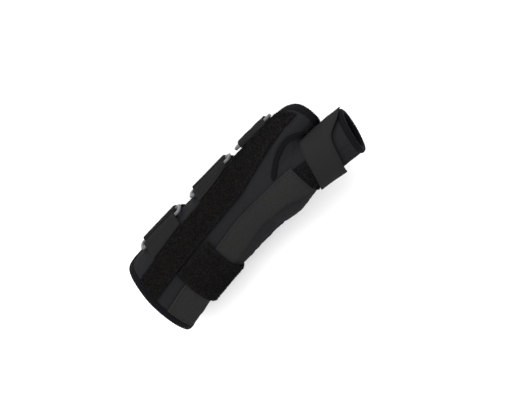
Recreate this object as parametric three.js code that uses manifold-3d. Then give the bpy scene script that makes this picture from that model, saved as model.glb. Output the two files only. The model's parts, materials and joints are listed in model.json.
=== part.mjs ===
// Thumb spica splint for the left hand, lying on its little-finger side.
// X runs from the forearm to the fingers, +Y is the back of the hand, +Z is the thumb side.
// A turn is an angle in degrees round the sleeve: 0 thumb side, 90 palm side, 180 underside, 270 back.

import * as THREE from "three";
import { mergeVertices } from "three/addons/utils/BufferGeometryUtils.js";
import Module from "manifold-3d";

const wasm = await Module();
wasm.setup();

// Main sleeve, in millimetres
const SLEEVE_LENGTH = 212;
const FOREARM_DEPTH = 67;
const FOREARM_HEIGHT = 75;
const PANEL_WALL = 3;
const RESTING_FLAT = 3;
const CLEARANCE = 0.5;
const SLIT_NEAR_TURN = -80;
const SLIT_FAR_TURN = 244;
const SCALLOP_TURN = 3;
const FOREARM_CORNER = 15;
const PALM_CORNER = 6;

// Thumb sleeve
const THUMB_START = 106;
const THUMB_END = 213;
const THUMB_RADIUS = 23;
const THUMB_WALL = 2.6;
const RIM_SLANT = 5;
const RIM_SLANT_TURN = 90;

// Bindings and piping
const BINDING_WIDTH = 5;
const BINDING_HEIGHT = 4.6;
const SLIT_BINDING_HEIGHT = 2.8;
const PIPING_WIDTH = 2.6;

// Laid-on bands
const LOOP_BAND_THICKNESS = 1.8;
const WEBBING_THICKNESS = 1.4;
const PATCH_THICKNESS = 1.1;
const PATCH_MARGIN = 8;
const PATCH_TUCK = 14;

// Closure straps, tabs and rings
const STRAP_WIDTH = 38;
const STRAP_THICKNESS = 1.5;
const TAB_THICKNESS = 1.2;
const TAB_FROM_BAND_TURN = 1;
const TAB_TO_BAR_TURN = 5;
const RING_WIRE = 2.8;
const RING_MARGIN = 2.4;
const RING_SPREAD_TURN = 17;
const STRAP_FOLD_LENGTH = 12;
const STRAP_STEP = 3.8;
const STRAP_ENDS_BEFORE_RING = 3;
const STRAP_TURNS_BACK = 4;
const STRAP_LIFT_FROM_TURN = 96;
const STRAP_LIFT_OVER_TURNS = 20;
const STRAP_SLANT_FROM_TURN = 110;
const THUMB_STRAP_WIDTH = 27;
const THUMB_STRAP_THICKNESS = 1.6;

// Sleeve sections: place along the sleeve, centre towards the palm, depth and height as shares
const SLEEVE_ROWS = [
  { along: 0.0, lean: 0.082, depth: 1.11, height: 0.99 },
  { along: 0.13, lean: 0.06, depth: 1.052, height: 0.98 },
  { along: 0.31, lean: 0.051, depth: 1.004, height: 0.97 },
  { along: 0.45, lean: 0.068, depth: 0.992, height: 0.95 },
  { along: 0.57, lean: 0.074, depth: 0.982, height: 0.97 },
  { along: 0.67, lean: 0.02, depth: 0.828, height: 1.01 },
  { along: 0.78, lean: -0.056, depth: 0.631, height: 1.06 },
  { along: 0.89, lean: -0.107, depth: 0.515, height: 1.09 },
  { along: 1.0, lean: -0.107, depth: 0.455, height: 1.09 },
];

// Thumb sections: place from its start to its end, centre as shares of the forearm, radius share
const THUMB_ROWS = [
  { along: 0.0, lean: 0.18, rise: 0.6, radius: 0.35 },
  { along: 0.07, lean: 0.195, rise: 0.62, radius: 0.74 },
  { along: 0.15, lean: 0.222, rise: 0.65, radius: 0.985 },
  { along: 0.28, lean: 0.25, rise: 0.69, radius: 1.08 },
  { along: 0.42, lean: 0.257, rise: 0.72, radius: 1.02 },
  { along: 0.57, lean: 0.275, rise: 0.77, radius: 0.92 },
  { along: 0.8, lean: 0.345, rise: 0.85, radius: 0.84 },
  { along: 1.0, lean: 0.405, rise: 0.91, radius: 0.78 },
  { along: 1.16, lean: 0.43, rise: 0.94, radius: 0.75 },
];

// Forearm hem: where it starts at each turn, as a share of the sleeve
const FOREARM_HEM_ROWS = [
  { turn: -90, start: 0.026 },
  { turn: -30, start: 0.024 },
  { turn: 0, start: 0.017 },
  { turn: 30, start: 0.012 },
  { turn: 60, start: 0.002 },
  { turn: 90, start: -0.014 },
  { turn: 130, start: -0.014 },
  { turn: 180, start: 0 },
  { turn: 250, start: 0.019 },
];

// Palm hem: how far it reaches at each turn, as a share of the sleeve
const PALM_HEM_ROWS = [
  { turn: -90, reach: 0.84 },
  { turn: -62, reach: 0.845 },
  { turn: -29, reach: 0.9 },
  { turn: -5, reach: 0.948 },
  { turn: 16, reach: 0.948 },
  { turn: 40, reach: 0.91 },
  { turn: 70, reach: 0.83 },
  { turn: 100, reach: 0.8 },
  { turn: 140, reach: 0.85 },
  { turn: 180, reach: 0.86 },
  { turn: 220, reach: 0.85 },
  { turn: 270, reach: 0.84 },
];

// Loop band and webbing strip: both edges as turns, at places along the sleeve
const LOOP_BAND_ROWS = [
  { along: 0.042, back: -31, palm: 2 },
  { along: 0.16, back: -34, palm: 0 },
  { along: 0.34, back: -41, palm: -4 },
  { along: 0.5, back: -48, palm: -9 },
  { along: 0.66, back: -60, palm: -11 },
  { along: 0.76, back: -54, palm: -9 },
  { along: 0.85, back: -46, palm: -7 },
  { along: 0.97, back: -24, palm: -6 },
];
const WEBBING_ROWS = [
  { along: 0.03, back: 20, palm: 68 },
  { along: 0.16, back: 16, palm: 66 },
  { along: 0.33, back: 14, palm: 57 },
  { along: 0.46, back: 8, palm: 56 },
  { along: 0.55, back: 7, palm: 49 },
  { along: 0.64, back: 11, palm: 44 },
  { along: 0.72, back: 17, palm: 53 },
  { along: 0.8, back: 24, palm: 60 },
];

// Thumb strap: its near edge at turns round the thumb, as a share of the thumb, and its width share
const THUMB_STRAP_ROWS = [
  { turn: -78, along: 0.745, width: 1.4 },
  { turn: -50, along: 0.717, width: 1.3 },
  { turn: -20, along: 0.68, width: 0.97 },
  { turn: 20, along: 0.628, width: 0.92 },
  { turn: 60, along: 0.566, width: 0.94 },
  { turn: 90, along: 0.534, width: 0.95 },
];

// Closure straps: place along the sleeve, first turn, turn where the folded end stops, slant of the first
// end, and turn of the ring bar that the tab holds
const STRAPS = [
  { name: "1", along: 0.127, width: 1.0, from: 2, fold_to: 219, slant: 7, ring: 301 },
  { name: "2", along: 0.408, width: 1.0, from: 112, fold_to: 221, slant: 0, ring: 297 },
  { name: "3", along: 0.662, width: 0.8, from: 128, fold_to: 223, slant: 0, ring: 290 },
];

// Turn of the ring bar that the strap goes round
const ringStrapTurn = (strap) => strap.ring - RING_SPREAD_TURN;

const radians = (degrees) => (degrees * Math.PI) / 180;
const mix = (a, b, share) => a + (b - a) * share;
const clampShare = (share) => Math.min(Math.max(share, 0), 1);

// Smooth value of a table column between its rows
function columnAt(rows, key, column, place) {
  const last = rows.length - 1;
  const inside = Math.min(Math.max(place, rows[0][key]), rows[last][key]);
  let i = 0;
  while (i < last - 1 && rows[i + 1][key] < inside) i += 1;
  const slope = (n) => {
    const before = rows[Math.max(n - 1, 0)];
    const after = rows[Math.min(n + 1, last)];
    return (after[column] - before[column]) / (after[key] - before[key]);
  };
  const span = rows[i + 1][key] - rows[i][key];
  const t = (inside - rows[i][key]) / span;
  const rise = t * t * (3 - 2 * t);
  const tangents = span * (slope(i) * t * (1 - t) * (1 - t) - slope(i + 1) * t * t * (1 - t));
  return mix(rows[i][column], rows[i + 1][column], rise) + tangents;
}

// Underside of the panel: the straps lie between it and the surface that the splint rests on
const PANEL_UNDERSIDE = STRAP_THICKNESS + CLEARANCE;

function sleeveSection(x) {
  const place = x / SLEEVE_LENGTH;
  const halfDepth = (FOREARM_DEPTH / 2) * columnAt(SLEEVE_ROWS, "along", "depth", place);
  const halfHeight = (FOREARM_HEIGHT / 2) * columnAt(SLEEVE_ROWS, "along", "height", place);
  const lean = FOREARM_DEPTH * columnAt(SLEEVE_ROWS, "along", "lean", place);
  return { halfDepth, halfHeight, lean, rise: PANEL_UNDERSIDE + halfHeight - RESTING_FLAT };
}

const SECTION_POWER = 2.15;
const RESTING_SOFTNESS = 1.5;

// Distance from the sleeve's centre line to its outer face at a turn, flat where it rests
function sleeveReach(x, turn) {
  const section = sleeveSection(x);
  const side = Math.abs(Math.sin(radians(turn))) / section.halfDepth;
  const up = Math.cos(radians(turn));
  const fullness = side ** SECTION_POWER + (Math.abs(up) / section.halfHeight) ** SECTION_POWER;
  const round = fullness ** (-1 / SECTION_POWER);
  if (up >= 0) return round;
  const flat = (section.rise - PANEL_UNDERSIDE) / -up;
  const gap = Math.max(RESTING_SOFTNESS - Math.abs(round - flat), 0);
  return Math.min(round, flat) - (gap * gap) / (4 * RESTING_SOFTNESS);
}

function thumbSection(x) {
  const place = (x - THUMB_START) / (THUMB_END - THUMB_START);
  return {
    lean: FOREARM_DEPTH * columnAt(THUMB_ROWS, "along", "lean", place),
    rise: PANEL_UNDERSIDE + FOREARM_HEIGHT * columnAt(THUMB_ROWS, "along", "rise", place),
    radius: THUMB_RADIUS * columnAt(THUMB_ROWS, "along", "radius", place),
  };
}

// Distance from the sleeve's centre line to the far side of the thumb sleeve, or 0 where it misses
function thumbReach(x, turn) {
  if (x < THUMB_START) return 0;
  const sleeve = sleeveSection(x);
  const thumb = thumbSection(x);
  const across = thumb.lean - sleeve.lean;
  const up = thumb.rise - sleeve.rise;
  const along = across * Math.sin(radians(turn)) + up * Math.cos(radians(turn));
  const inside = along * along - across * across - up * up + thumb.radius * thumb.radius;
  return inside > 0 ? along + Math.sqrt(inside) : 0;
}

const CREASE_SOFTNESS = 4;

// Outer face of sleeve and thumb together, bridged softly over the crease between them
function coveredReach(x, turn) {
  const sleeve = sleeveReach(x, turn);
  const thumb = thumbReach(x, turn);
  const gap = Math.max(CREASE_SOFTNESS - Math.abs(sleeve - thumb), 0);
  return Math.max(sleeve, thumb) + (gap * gap) / (4 * CREASE_SOFTNESS);
}

const TURN_STEP = 0.5;

// A point on a face given by its reach, raised by a lift square to it
function facePoint(reach, x, turn, lift) {
  const section = sleeveSection(x);
  const at = (degrees) => {
    const length = reach(x, degrees);
    const across = section.lean + length * Math.sin(radians(degrees));
    return [across, section.rise + length * Math.cos(radians(degrees))];
  };
  const [beforeP, beforeZ] = at(turn - TURN_STEP);
  const [afterP, afterZ] = at(turn + TURN_STEP);
  const [p, z] = at(turn);
  const length = Math.hypot(afterP - beforeP, afterZ - beforeZ);
  const outP = -(afterZ - beforeZ) / length;
  const outZ = (afterP - beforeP) / length;
  return new THREE.Vector3(x, -(p + outP * lift), z + outZ * lift);
}

const onSleeve = (x, turn, lift) => facePoint(sleeveReach, x, turn, lift);
const onCover = (x, turn, lift) => facePoint(coveredReach, x, turn, lift);

function onThumb(x, turn, lift) {
  const section = thumbSection(x);
  const length = section.radius + lift;
  const p = section.lean + length * Math.sin(radians(turn));
  return new THREE.Vector3(x, -p, section.rise + length * Math.cos(radians(turn)));
}

// Oblique rim of the thumb sleeve
function thumbRim(turn) {
  return THUMB_END - RIM_SLANT * Math.cos(radians(turn - RIM_SLANT_TURN));
}

function isInsideSleeve(point, lift) {
  const section = sleeveSection(point.x);
  const across = -point.y - section.lean;
  const up = point.z - section.rise;
  const turn = (Math.atan2(across, up) * 180) / Math.PI;
  return Math.hypot(across, up) < sleeveReach(point.x, turn) + lift;
}

const THUMB_OUTWARD_TURN = 50;

// Turn on the thumb where it meets the sleeve, on its back side (-1) or its palm side (+1)
function creaseTurn(x, side, lift) {
  let turn = THUMB_OUTWARD_TURN;
  while (Math.abs(turn) < 200 && !isInsideSleeve(onThumb(x, turn, lift), lift)) turn += side * TURN_STEP;
  return turn;
}

// A geometry from points and triangles, turned so that its faces point out
function closedGeometry(points, triangles) {
  let volume = 0;
  for (const [a, b, c] of triangles) {
    volume += points[a].dot(new THREE.Vector3().crossVectors(points[b], points[c]));
  }
  const index = triangles.flatMap(([a, b, c]) => (volume > 0 ? [a, b, c] : [a, c, b]));
  const geometry = new THREE.BufferGeometry();
  const places = points.flatMap((v) => [v.x, v.y, v.z]);
  geometry.setAttribute("position", new THREE.Float32BufferAttribute(places, 3));
  geometry.setIndex(index);
  return geometry;
}

// A slab between two faces of a grid, with walls round its four edges
function slab(upper, lower, columns, rows) {
  const points = [];
  const triangles = [];
  const count = (columns + 1) * (rows + 1);
  for (const face of [upper, lower]) {
    for (let i = 0; i <= columns; i += 1) {
      for (let j = 0; j <= rows; j += 1) points.push(face(i / columns, j / rows));
    }
  }
  const at = (i, j) => i * (rows + 1) + j;
  const quad = (a, b, c, d) => triangles.push([a, b, c], [a, c, d]);
  for (let i = 0; i < columns; i += 1) {
    for (let j = 0; j < rows; j += 1) {
      quad(at(i, j), at(i + 1, j), at(i + 1, j + 1), at(i, j + 1));
      quad(count + at(i, j), count + at(i, j + 1), count + at(i + 1, j + 1), count + at(i + 1, j));
    }
  }
  for (let i = 0; i < columns; i += 1) {
    quad(at(i + 1, 0), at(i, 0), count + at(i, 0), count + at(i + 1, 0));
    quad(at(i, rows), at(i + 1, rows), count + at(i + 1, rows), count + at(i, rows));
  }
  for (let j = 0; j < rows; j += 1) {
    quad(at(0, j), at(0, j + 1), count + at(0, j + 1), count + at(0, j));
    quad(at(columns, j + 1), at(columns, j), count + at(columns, j), count + at(columns, j + 1));
  }
  return closedGeometry(points, triangles);
}

// A solid between rings of points; open ends are capped with a fan
function ringSolid(rings, closed) {
  const sides = rings[0].length;
  const points = rings.flat();
  const triangles = [];
  const steps = closed ? rings.length : rings.length - 1;
  for (let i = 0; i < steps; i += 1) {
    const next = ((i + 1) % rings.length) * sides;
    for (let j = 0; j < sides; j += 1) {
      const k = (j + 1) % sides;
      triangles.push([i * sides + j, next + j, next + k], [i * sides + j, next + k, i * sides + k]);
    }
  }
  if (!closed) {
    for (const [ring, forward] of [[0, false], [rings.length - 1, true]]) {
      const centre = rings[ring].reduce((sum, v) => sum.add(v), new THREE.Vector3()).divideScalar(sides);
      points.push(centre);
      for (let j = 0; j < sides; j += 1) {
        const a = ring * sides + j;
        const b = ring * sides + ((j + 1) % sides);
        triangles.push(forward ? [b, a, points.length - 1] : [a, b, points.length - 1]);
      }
    }
  }
  return closedGeometry(points, triangles);
}

// A bead with an oval section along a path; each stop has its centre, outward way, width and height
function bead(stops, sides, closed) {
  const count = stops.length;
  const rings = stops.map((stop, i) => {
    const before = stops[closed ? (i + count - 1) % count : Math.max(i - 1, 0)].centre;
    const after = stops[closed ? (i + 1) % count : Math.min(i + 1, count - 1)].centre;
    const tangent = new THREE.Vector3().subVectors(after, before).normalize();
    const beside = new THREE.Vector3().crossVectors(tangent, stop.out).normalize();
    const out = new THREE.Vector3().crossVectors(beside, tangent).normalize();
    return Array.from({ length: sides }, (_, j) => {
      const angle = (2 * Math.PI * (j + 0.5)) / sides;
      return stop.centre.clone()
        .addScaledVector(beside, (stop.width / 2) * Math.cos(angle))
        .addScaledVector(out, (stop.height / 2) * Math.sin(angle));
    });
  });
  return ringSolid(rings, closed);
}

function toSolid(geometry) {
  const plain = new THREE.BufferGeometry();
  plain.setAttribute("position", geometry.getAttribute("position"));
  plain.setIndex(geometry.getIndex());
  const merged = mergeVertices(plain, 1e-5);
  return new wasm.Manifold(new wasm.Mesh({
    numProp: 3,
    vertProperties: new Float32Array(merged.getAttribute("position").array),
    triVerts: new Uint32Array(merged.getIndex().array),
  }));
}

function toGeometry(solid) {
  const mesh = solid.getMesh();
  const geometry = new THREE.BufferGeometry();
  geometry.setAttribute("position", new THREE.BufferAttribute(new Float32Array(mesh.vertProperties), 3));
  geometry.setIndex(new THREE.BufferAttribute(new Uint32Array(mesh.triVerts), 1));
  return geometry;
}

// Edges of the main panel in its own grid: u from forearm to palm, v from the near slit edge round
function slitScallop(x) {
  const between = STRAPS.map((strap) => SLEEVE_LENGTH * strap.along + (STRAP_WIDTH * strap.width) / 2);
  const nearest = Math.min(...between.map((middle) => Math.abs(x - middle)));
  return SCALLOP_TURN * Math.min(Math.max((nearest - STRAP_WIDTH / 2) / (STRAP_WIDTH / 2), 0), 1);
}

// How far a rounded corner steps back from an edge, at a distance from the corner's side
function cornerStep(radius, distance) {
  const inside = Math.max(radius - distance, 0);
  return radius - Math.sqrt(radius * radius - inside * inside);
}

const MEAN_RADIUS = (FOREARM_DEPTH + FOREARM_HEIGHT) / 4;

function panelPlace(u, v) {
  const base = mix(SLIT_NEAR_TURN, SLIT_FAR_TURN, v);
  const fromNear = radians(base - SLIT_NEAR_TURN) * MEAN_RADIUS;
  const fromFar = radians(SLIT_FAR_TURN - base) * MEAN_RADIUS;
  const side = Math.min(fromNear, fromFar);
  const hemStart = SLEEVE_LENGTH * columnAt(FOREARM_HEM_ROWS, "turn", "start", base);
  const start = hemStart + cornerStep(FOREARM_CORNER, side);
  const end = SLEEVE_LENGTH * columnAt(PALM_HEM_ROWS, "turn", "reach", base) - cornerStep(PALM_CORNER, side);
  const x = mix(start, end, u);
  const swell = slitScallop(x);
  const turn = mix(SLIT_NEAR_TURN - swell, SLIT_FAR_TURN + swell, v);
  return { x, turn };
}

function panelPoint(u, v, lift) {
  const place = panelPlace(u, v);
  return onSleeve(place.x, place.turn, lift);
}

const PANEL_COLUMNS = 20;
const PANEL_ROWS = 34;
const THUMB_SIDES = 24;
const THUMB_STEPS = 13;
const PLUG_STEPS = 14;

// Rings of the thumb sleeve from its hidden start to its rim, larger or smaller by a lift
function thumbRings(lift) {
  return Array.from({ length: THUMB_STEPS + 1 }, (_, i) =>
    Array.from({ length: THUMB_SIDES }, (_side, j) => {
      const turn = (360 * j) / THUMB_SIDES;
      return onThumb(mix(THUMB_START, thumbRim(turn), i / THUMB_STEPS), turn, lift);
    }));
}

// Solid that clears the way for the thumb sleeve in its neighbours, and runs on past its rim
function thumbClearing() {
  const rings = thumbRings(CLEARANCE);
  const last = rings[rings.length - 1];
  rings.push(last.map((point) => point.clone().setX(point.x + FOREARM_DEPTH)));
  return toSolid(ringSolid(rings, false));
}

// Solid plug of the space inside the main sleeve, ending at the palm hem
function sleevePlug(lift) {
  const sides = PANEL_ROWS;
  const rings = Array.from({ length: PLUG_STEPS + 1 }, (_, i) =>
    Array.from({ length: sides }, (_side, j) => {
      const turn = -90 + (360 * j) / sides;
      const end = SLEEVE_LENGTH * columnAt(PALM_HEM_ROWS, "turn", "reach", turn);
      return onSleeve(mix(THUMB_START - PANEL_WALL, end, i / PLUG_STEPS), turn, lift);
    }));
  return toSolid(ringSolid(rings, false));
}

function bodyShell() {
  const panel = slab(
    (u, v) => panelPoint(u, v, 0),
    (u, v) => panelPoint(u, v, -PANEL_WALL),
    PANEL_COLUMNS,
    PANEL_ROWS,
  );
  return toGeometry(toSolid(panel).subtract(thumbClearing()));
}

function thumbSleeve() {
  const rings = [...thumbRings(0), ...thumbRings(-THUMB_WALL).reverse()];
  return toGeometry(toSolid(ringSolid(rings, true)).subtract(sleevePlug(-PANEL_WALL)));
}

// Round binding on the hems and slit edges, cut where the thumb sleeve passes
function edgeBinding() {
  const hemSteps = 34;
  const slitSteps = 14;
  const places = [];
  for (let i = 0; i < hemSteps; i += 1) places.push([0, i / hemSteps, 1]);
  for (let i = 0; i < slitSteps; i += 1) places.push([i / slitSteps, 1, 0]);
  for (let i = 0; i < hemSteps; i += 1) places.push([1, 1 - i / hemSteps, 1]);
  for (let i = 0; i < slitSteps; i += 1) places.push([1 - i / slitSteps, 0, 0]);
  const count = places.length;
  const middle = -PANEL_WALL / 2;
  const stops = places.map(([u, v], i) => {
    const [beforeU, beforeV] = places[(i + count - 1) % count];
    const [afterU, afterV] = places[(i + 1) % count];
    const tangent = panelPoint(afterU, afterV, middle).sub(panelPoint(beforeU, beforeV, middle)).normalize();
    const out = panelPoint(u, v, 1).sub(panelPoint(u, v, 0)).normalize();
    const away = new THREE.Vector3().crossVectors(tangent, out).normalize();
    const fullness = places.slice(0, count).filter((_, k) => {
      const apart = Math.min(Math.abs(k - i), count - Math.abs(k - i));
      return apart <= 2 && places[k][2] === 1;
    }).length / 5;
    return {
      centre: panelPoint(u, v, middle).addScaledVector(away, BINDING_WIDTH / 2 + CLEARANCE),
      out,
      width: BINDING_WIDTH,
      height: mix(SLIT_BINDING_HEIGHT, BINDING_HEIGHT, fullness),
    };
  });
  return toGeometry(toSolid(bead(stops, 6, true)).subtract(thumbClearing()));
}

function thumbRimBinding() {
  const steps = 36;
  const rimPoint = (turn) => onThumb(thumbRim(turn), turn, -THUMB_WALL / 2);
  const stops = Array.from({ length: steps }, (_, i) => {
    const turn = (360 * i) / steps;
    const tangent = rimPoint(turn + TURN_STEP).sub(rimPoint(turn - TURN_STEP));
    const out = onThumb(thumbRim(turn), turn, 1).sub(rimPoint(turn)).normalize();
    const away = new THREE.Vector3().crossVectors(out, tangent).normalize();
    return {
      centre: rimPoint(turn).addScaledVector(away, BINDING_WIDTH / 2 + CLEARANCE),
      out,
      width: BINDING_WIDTH,
      height: BINDING_HEIGHT,
    };
  });
  return bead(stops, 6, true);
}

// Piping in the crease between the sleeve and the thumb: its side, first and last places along the sleeve
const BACK_PIPING = { side: -1, from: 0.69, to: 0.91, steps: 16 };
const PALM_PIPING = { side: 1, from: 0.6, to: 0.77, steps: 12 };

function creasePiping({ side, from, to, steps }) {
  const lift = PIPING_WIDTH / 2 + CLEARANCE;
  const stops = Array.from({ length: steps + 1 }, (_, i) => {
    const x = SLEEVE_LENGTH * mix(from, to, i / steps);
    const turn = creaseTurn(x, side, lift);
    const centre = onThumb(x, turn, lift);
    return { centre, out: new THREE.Vector3(0, -Math.sin(radians(turn)), Math.cos(radians(turn))),
      width: PIPING_WIDTH, height: PIPING_WIDTH };
  });
  return bead(stops, 6, false);
}

// A band laid on a face between two edges given by a table
function laidBand(face, rows, lift, thickness, columns, across, endAt) {
  const first = rows[0].along;
  const last = rows[rows.length - 1].along;
  const place = (u, v, height) => {
    let x = SLEEVE_LENGTH * mix(first, last, u);
    let turn = 0;
    for (let pass = 0; pass < 3; pass += 1) {
      const back = columnAt(rows, "along", "back", x / SLEEVE_LENGTH);
      const palm = columnAt(rows, "along", "palm", x / SLEEVE_LENGTH);
      turn = mix(back, palm, v);
      x = mix(SLEEVE_LENGTH * first, Math.min(SLEEVE_LENGTH * last, endAt(x, turn)), u);
    }
    return face(x, turn, height);
  };
  return slab((u, v) => place(u, v, lift + thickness), (u, v) => place(u, v, lift), columns, across);
}

const HEM_MARGIN = 3;

function loopBand() {
  const hemAt = (_x, turn) => SLEEVE_LENGTH * columnAt(PALM_HEM_ROWS, "turn", "reach", turn) - HEM_MARGIN;
  return laidBand(onSleeve, LOOP_BAND_ROWS, CLEARANCE, LOOP_BAND_THICKNESS, 20, 6, hemAt);
}

function strapEdgeOnThumb(turn) {
  return mix(THUMB_START, THUMB_END, columnAt(THUMB_STRAP_ROWS, "turn", "along", turn));
}

function stayWebbing() {
  const patchAt = (x, turn) => {
    const point = onCover(x, turn, 0);
    const section = thumbSection(x);
    const thumbTurn = (Math.atan2(-point.y - section.lean, point.z - section.rise) * 180) / Math.PI;
    return strapEdgeOnThumb(thumbTurn) - PATCH_MARGIN - 2 * CLEARANCE;
  };
  return laidBand(onCover, WEBBING_ROWS, CLEARANCE, WEBBING_THICKNESS, 20, 5, patchAt);
}

const PATCH_BACK_TURN = -8;
const PATCH_PALM_TURN = 76;

function thumbLoopPatch() {
  const place = (u, v, lift) => {
    const turn = mix(PATCH_BACK_TURN, PATCH_PALM_TURN, v);
    const start = strapEdgeOnThumb(turn) - PATCH_MARGIN;
    return onThumb(start + (PATCH_MARGIN + PATCH_TUCK) * u, turn, lift);
  };
  const top = CLEARANCE + PATCH_THICKNESS;
  return slab((u, v) => place(u, v, top), (u, v) => place(u, v, CLEARANCE), 5, 8);
}

const THUMB_STRAP_FREE_TURN = 82;
const THUMB_STRAP_SEWN_TURN = -78;
const THUMB_STRAP_SEAM_TURN = 5;

function thumbStrap() {
  const low = CLEARANCE + PATCH_THICKNESS + CLEARANCE;
  const high = low + THUMB_STRAP_THICKNESS;
  const across = (turn, u) =>
    strapEdgeOnThumb(turn) + THUMB_STRAP_WIDTH * columnAt(THUMB_STRAP_ROWS, "turn", "width", turn) * u;
  const place = (u, v, lift) => {
    const guess = mix(THUMB_STRAP_SEWN_TURN, THUMB_STRAP_FREE_TURN, v);
    const crease = creaseTurn(across(guess, u), -1, high) + THUMB_STRAP_SEAM_TURN;
    const sewn = Math.max(THUMB_STRAP_SEWN_TURN, crease);
    const turn = mix(sewn, THUMB_STRAP_FREE_TURN, v);
    return onThumb(across(turn, u), turn, lift);
  };
  return slab((u, v) => place(u, v, high), (u, v) => place(u, v, low), 6, 16);
}

// Both bars of a strap's ring: the tab hangs on one and the strap runs through the other
const RING_LIFT = CLEARANCE + STRAP_THICKNESS + CLEARANCE + RING_WIRE / 2;

function strapSpan(strap) {
  const start = SLEEVE_LENGTH * strap.along;
  return { start, width: STRAP_WIDTH * strap.width };
}

function ringBarPoint(strap, turn, x) {
  const { start, width } = strapSpan(strap);
  const first = onSleeve(start, turn, RING_LIFT);
  const last = onSleeve(start + width, turn, RING_LIFT);
  return first.lerp(last, (x - start) / width).setX(x);
}

function ring(strap) {
  const { start, width } = strapSpan(strap);
  const low = start - RING_MARGIN - RING_WIRE / 2;
  const high = start + width + RING_MARGIN + RING_WIRE / 2;
  const corner = RING_WIRE;
  const corners = [
    [low, strap.ring, 0, 1], [high, strap.ring, 1, 0],
    [high, ringStrapTurn(strap), 0, 1], [low, ringStrapTurn(strap), 1, 0],
  ];
  const outline = corners.map(([x, turn]) => ringBarPoint(strap, turn, x));
  const out = onSleeve(start + width / 2, 270, 1).sub(onSleeve(start + width / 2, 270, 0));
  const stops = [];
  outline.forEach((point, i) => {
    const before = outline[(i + 3) % 4];
    const after = outline[(i + 1) % 4];
    const inWay = before.clone().sub(point).normalize();
    const outWay = after.clone().sub(point).normalize();
    for (let k = 0; k <= 4; k += 1) {
      const angle = (Math.PI / 2) * (k / 4);
      const centre = point.clone()
        .addScaledVector(inWay, corner * (1 - Math.sin(angle)))
        .addScaledVector(outWay, corner * (1 - Math.cos(angle)));
      stops.push({ centre, out, width: RING_WIRE, height: RING_WIRE });
    }
  });
  return bead(stops, 8, true);
}

// A ribbon of even thickness along a path that changes across its width
function ribbon(pathAt, thickness, across) {
  const paths = Array.from({ length: across + 1 }, (_, i) => pathAt(i / across));
  const count = paths[0].length;
  const shifted = (path, k, amount) => {
    const before = path[Math.max(k - 1, 0)];
    const after = path[Math.min(k + 1, count - 1)];
    const length = Math.hypot(after.y - before.y, after.z - before.z);
    const out = new THREE.Vector3(0, (after.z - before.z) / length, -(after.y - before.y) / length);
    return path[k].clone().addScaledVector(out, amount);
  };
  const along = (u) => Math.round(u * (count - 1));
  const face = (amount) => (u, v) => shifted(paths[Math.round(v * across)], along(u), amount);
  return slab(face(thickness / 2), face(-thickness / 2), count - 1, across);
}

// Half a turn of a path round a bar, from its inner side over the far side to its outer side
function wrapPoints(bar, down, forward, radius, steps) {
  return Array.from({ length: steps + 1 }, (_, i) => {
    const angle = Math.PI * (i / steps);
    return bar.clone()
      .addScaledVector(down, radius * Math.cos(angle))
      .addScaledVector(forward, radius * Math.sin(angle));
  });
}

// Closure strap: once round the underside to its ring, through it and back over itself
function closureStrap(strap) {
  const { start, width } = strapSpan(strap);
  const half = STRAP_THICKNESS / 2;
  const wrapRadius = RING_WIRE / 2 + CLEARANCE + half;
  const overWebbing = CLEARANCE + WEBBING_THICKNESS;
  const pathAt = (v) => {
    const x = start + width * v;
    const bar = ringBarPoint(strap, ringStrapTurn(strap), x);
    const base = onSleeve(x, ringStrapTurn(strap), 0);
    const down = base.sub(bar).setX(0).normalize();
    const forward = new THREE.Vector3(0, -down.z, down.y);
    const toTab = onSleeve(x, strap.ring, 0).sub(onSleeve(x, ringStrapTurn(strap), 0));
    if (forward.dot(toTab) < 0) forward.negate();
    const lastTurn = ringStrapTurn(strap) - STRAP_ENDS_BEFORE_RING;
    const steps = Math.round((radians(lastTurn - strap.from) * MEAN_RADIUS) / STRAP_STEP);
    const points = [];
    for (let i = 0; i <= steps; i += 1) {
      const turn = mix(strap.from, lastTurn, i / steps);
      const onWebbing = clampShare((STRAP_LIFT_FROM_TURN - turn) / STRAP_LIFT_OVER_TURNS);
      const slant = strap.slant * clampShare((STRAP_SLANT_FROM_TURN - turn) / STRAP_SLANT_FROM_TURN);
      points.push(onSleeve(x + slant, turn, CLEARANCE + half + overWebbing * onWebbing));
    }
    points.push(...wrapPoints(bar, down, forward, wrapRadius, 6));
    const back = Math.round((radians(lastTurn - strap.fold_to) * MEAN_RADIUS) / STRAP_STEP);
    for (let i = 0; i <= back; i += 1) {
      const turn = mix(lastTurn - STRAP_TURNS_BACK, strap.fold_to, i / back);
      const away = radians(ringStrapTurn(strap) - turn) * MEAN_RADIUS;
      const open = Math.max(1 - away / STRAP_FOLD_LENGTH, 0);
      const closedLift = CLEARANCE + STRAP_THICKNESS + CLEARANCE + half;
      const openLift = RING_LIFT + wrapRadius;
      points.push(onSleeve(x, turn, mix(closedLift, openLift, open * open * (3 - 2 * open))));
    }
    return points;
  };
  return ribbon(pathAt, STRAP_THICKNESS, 3);
}

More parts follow.
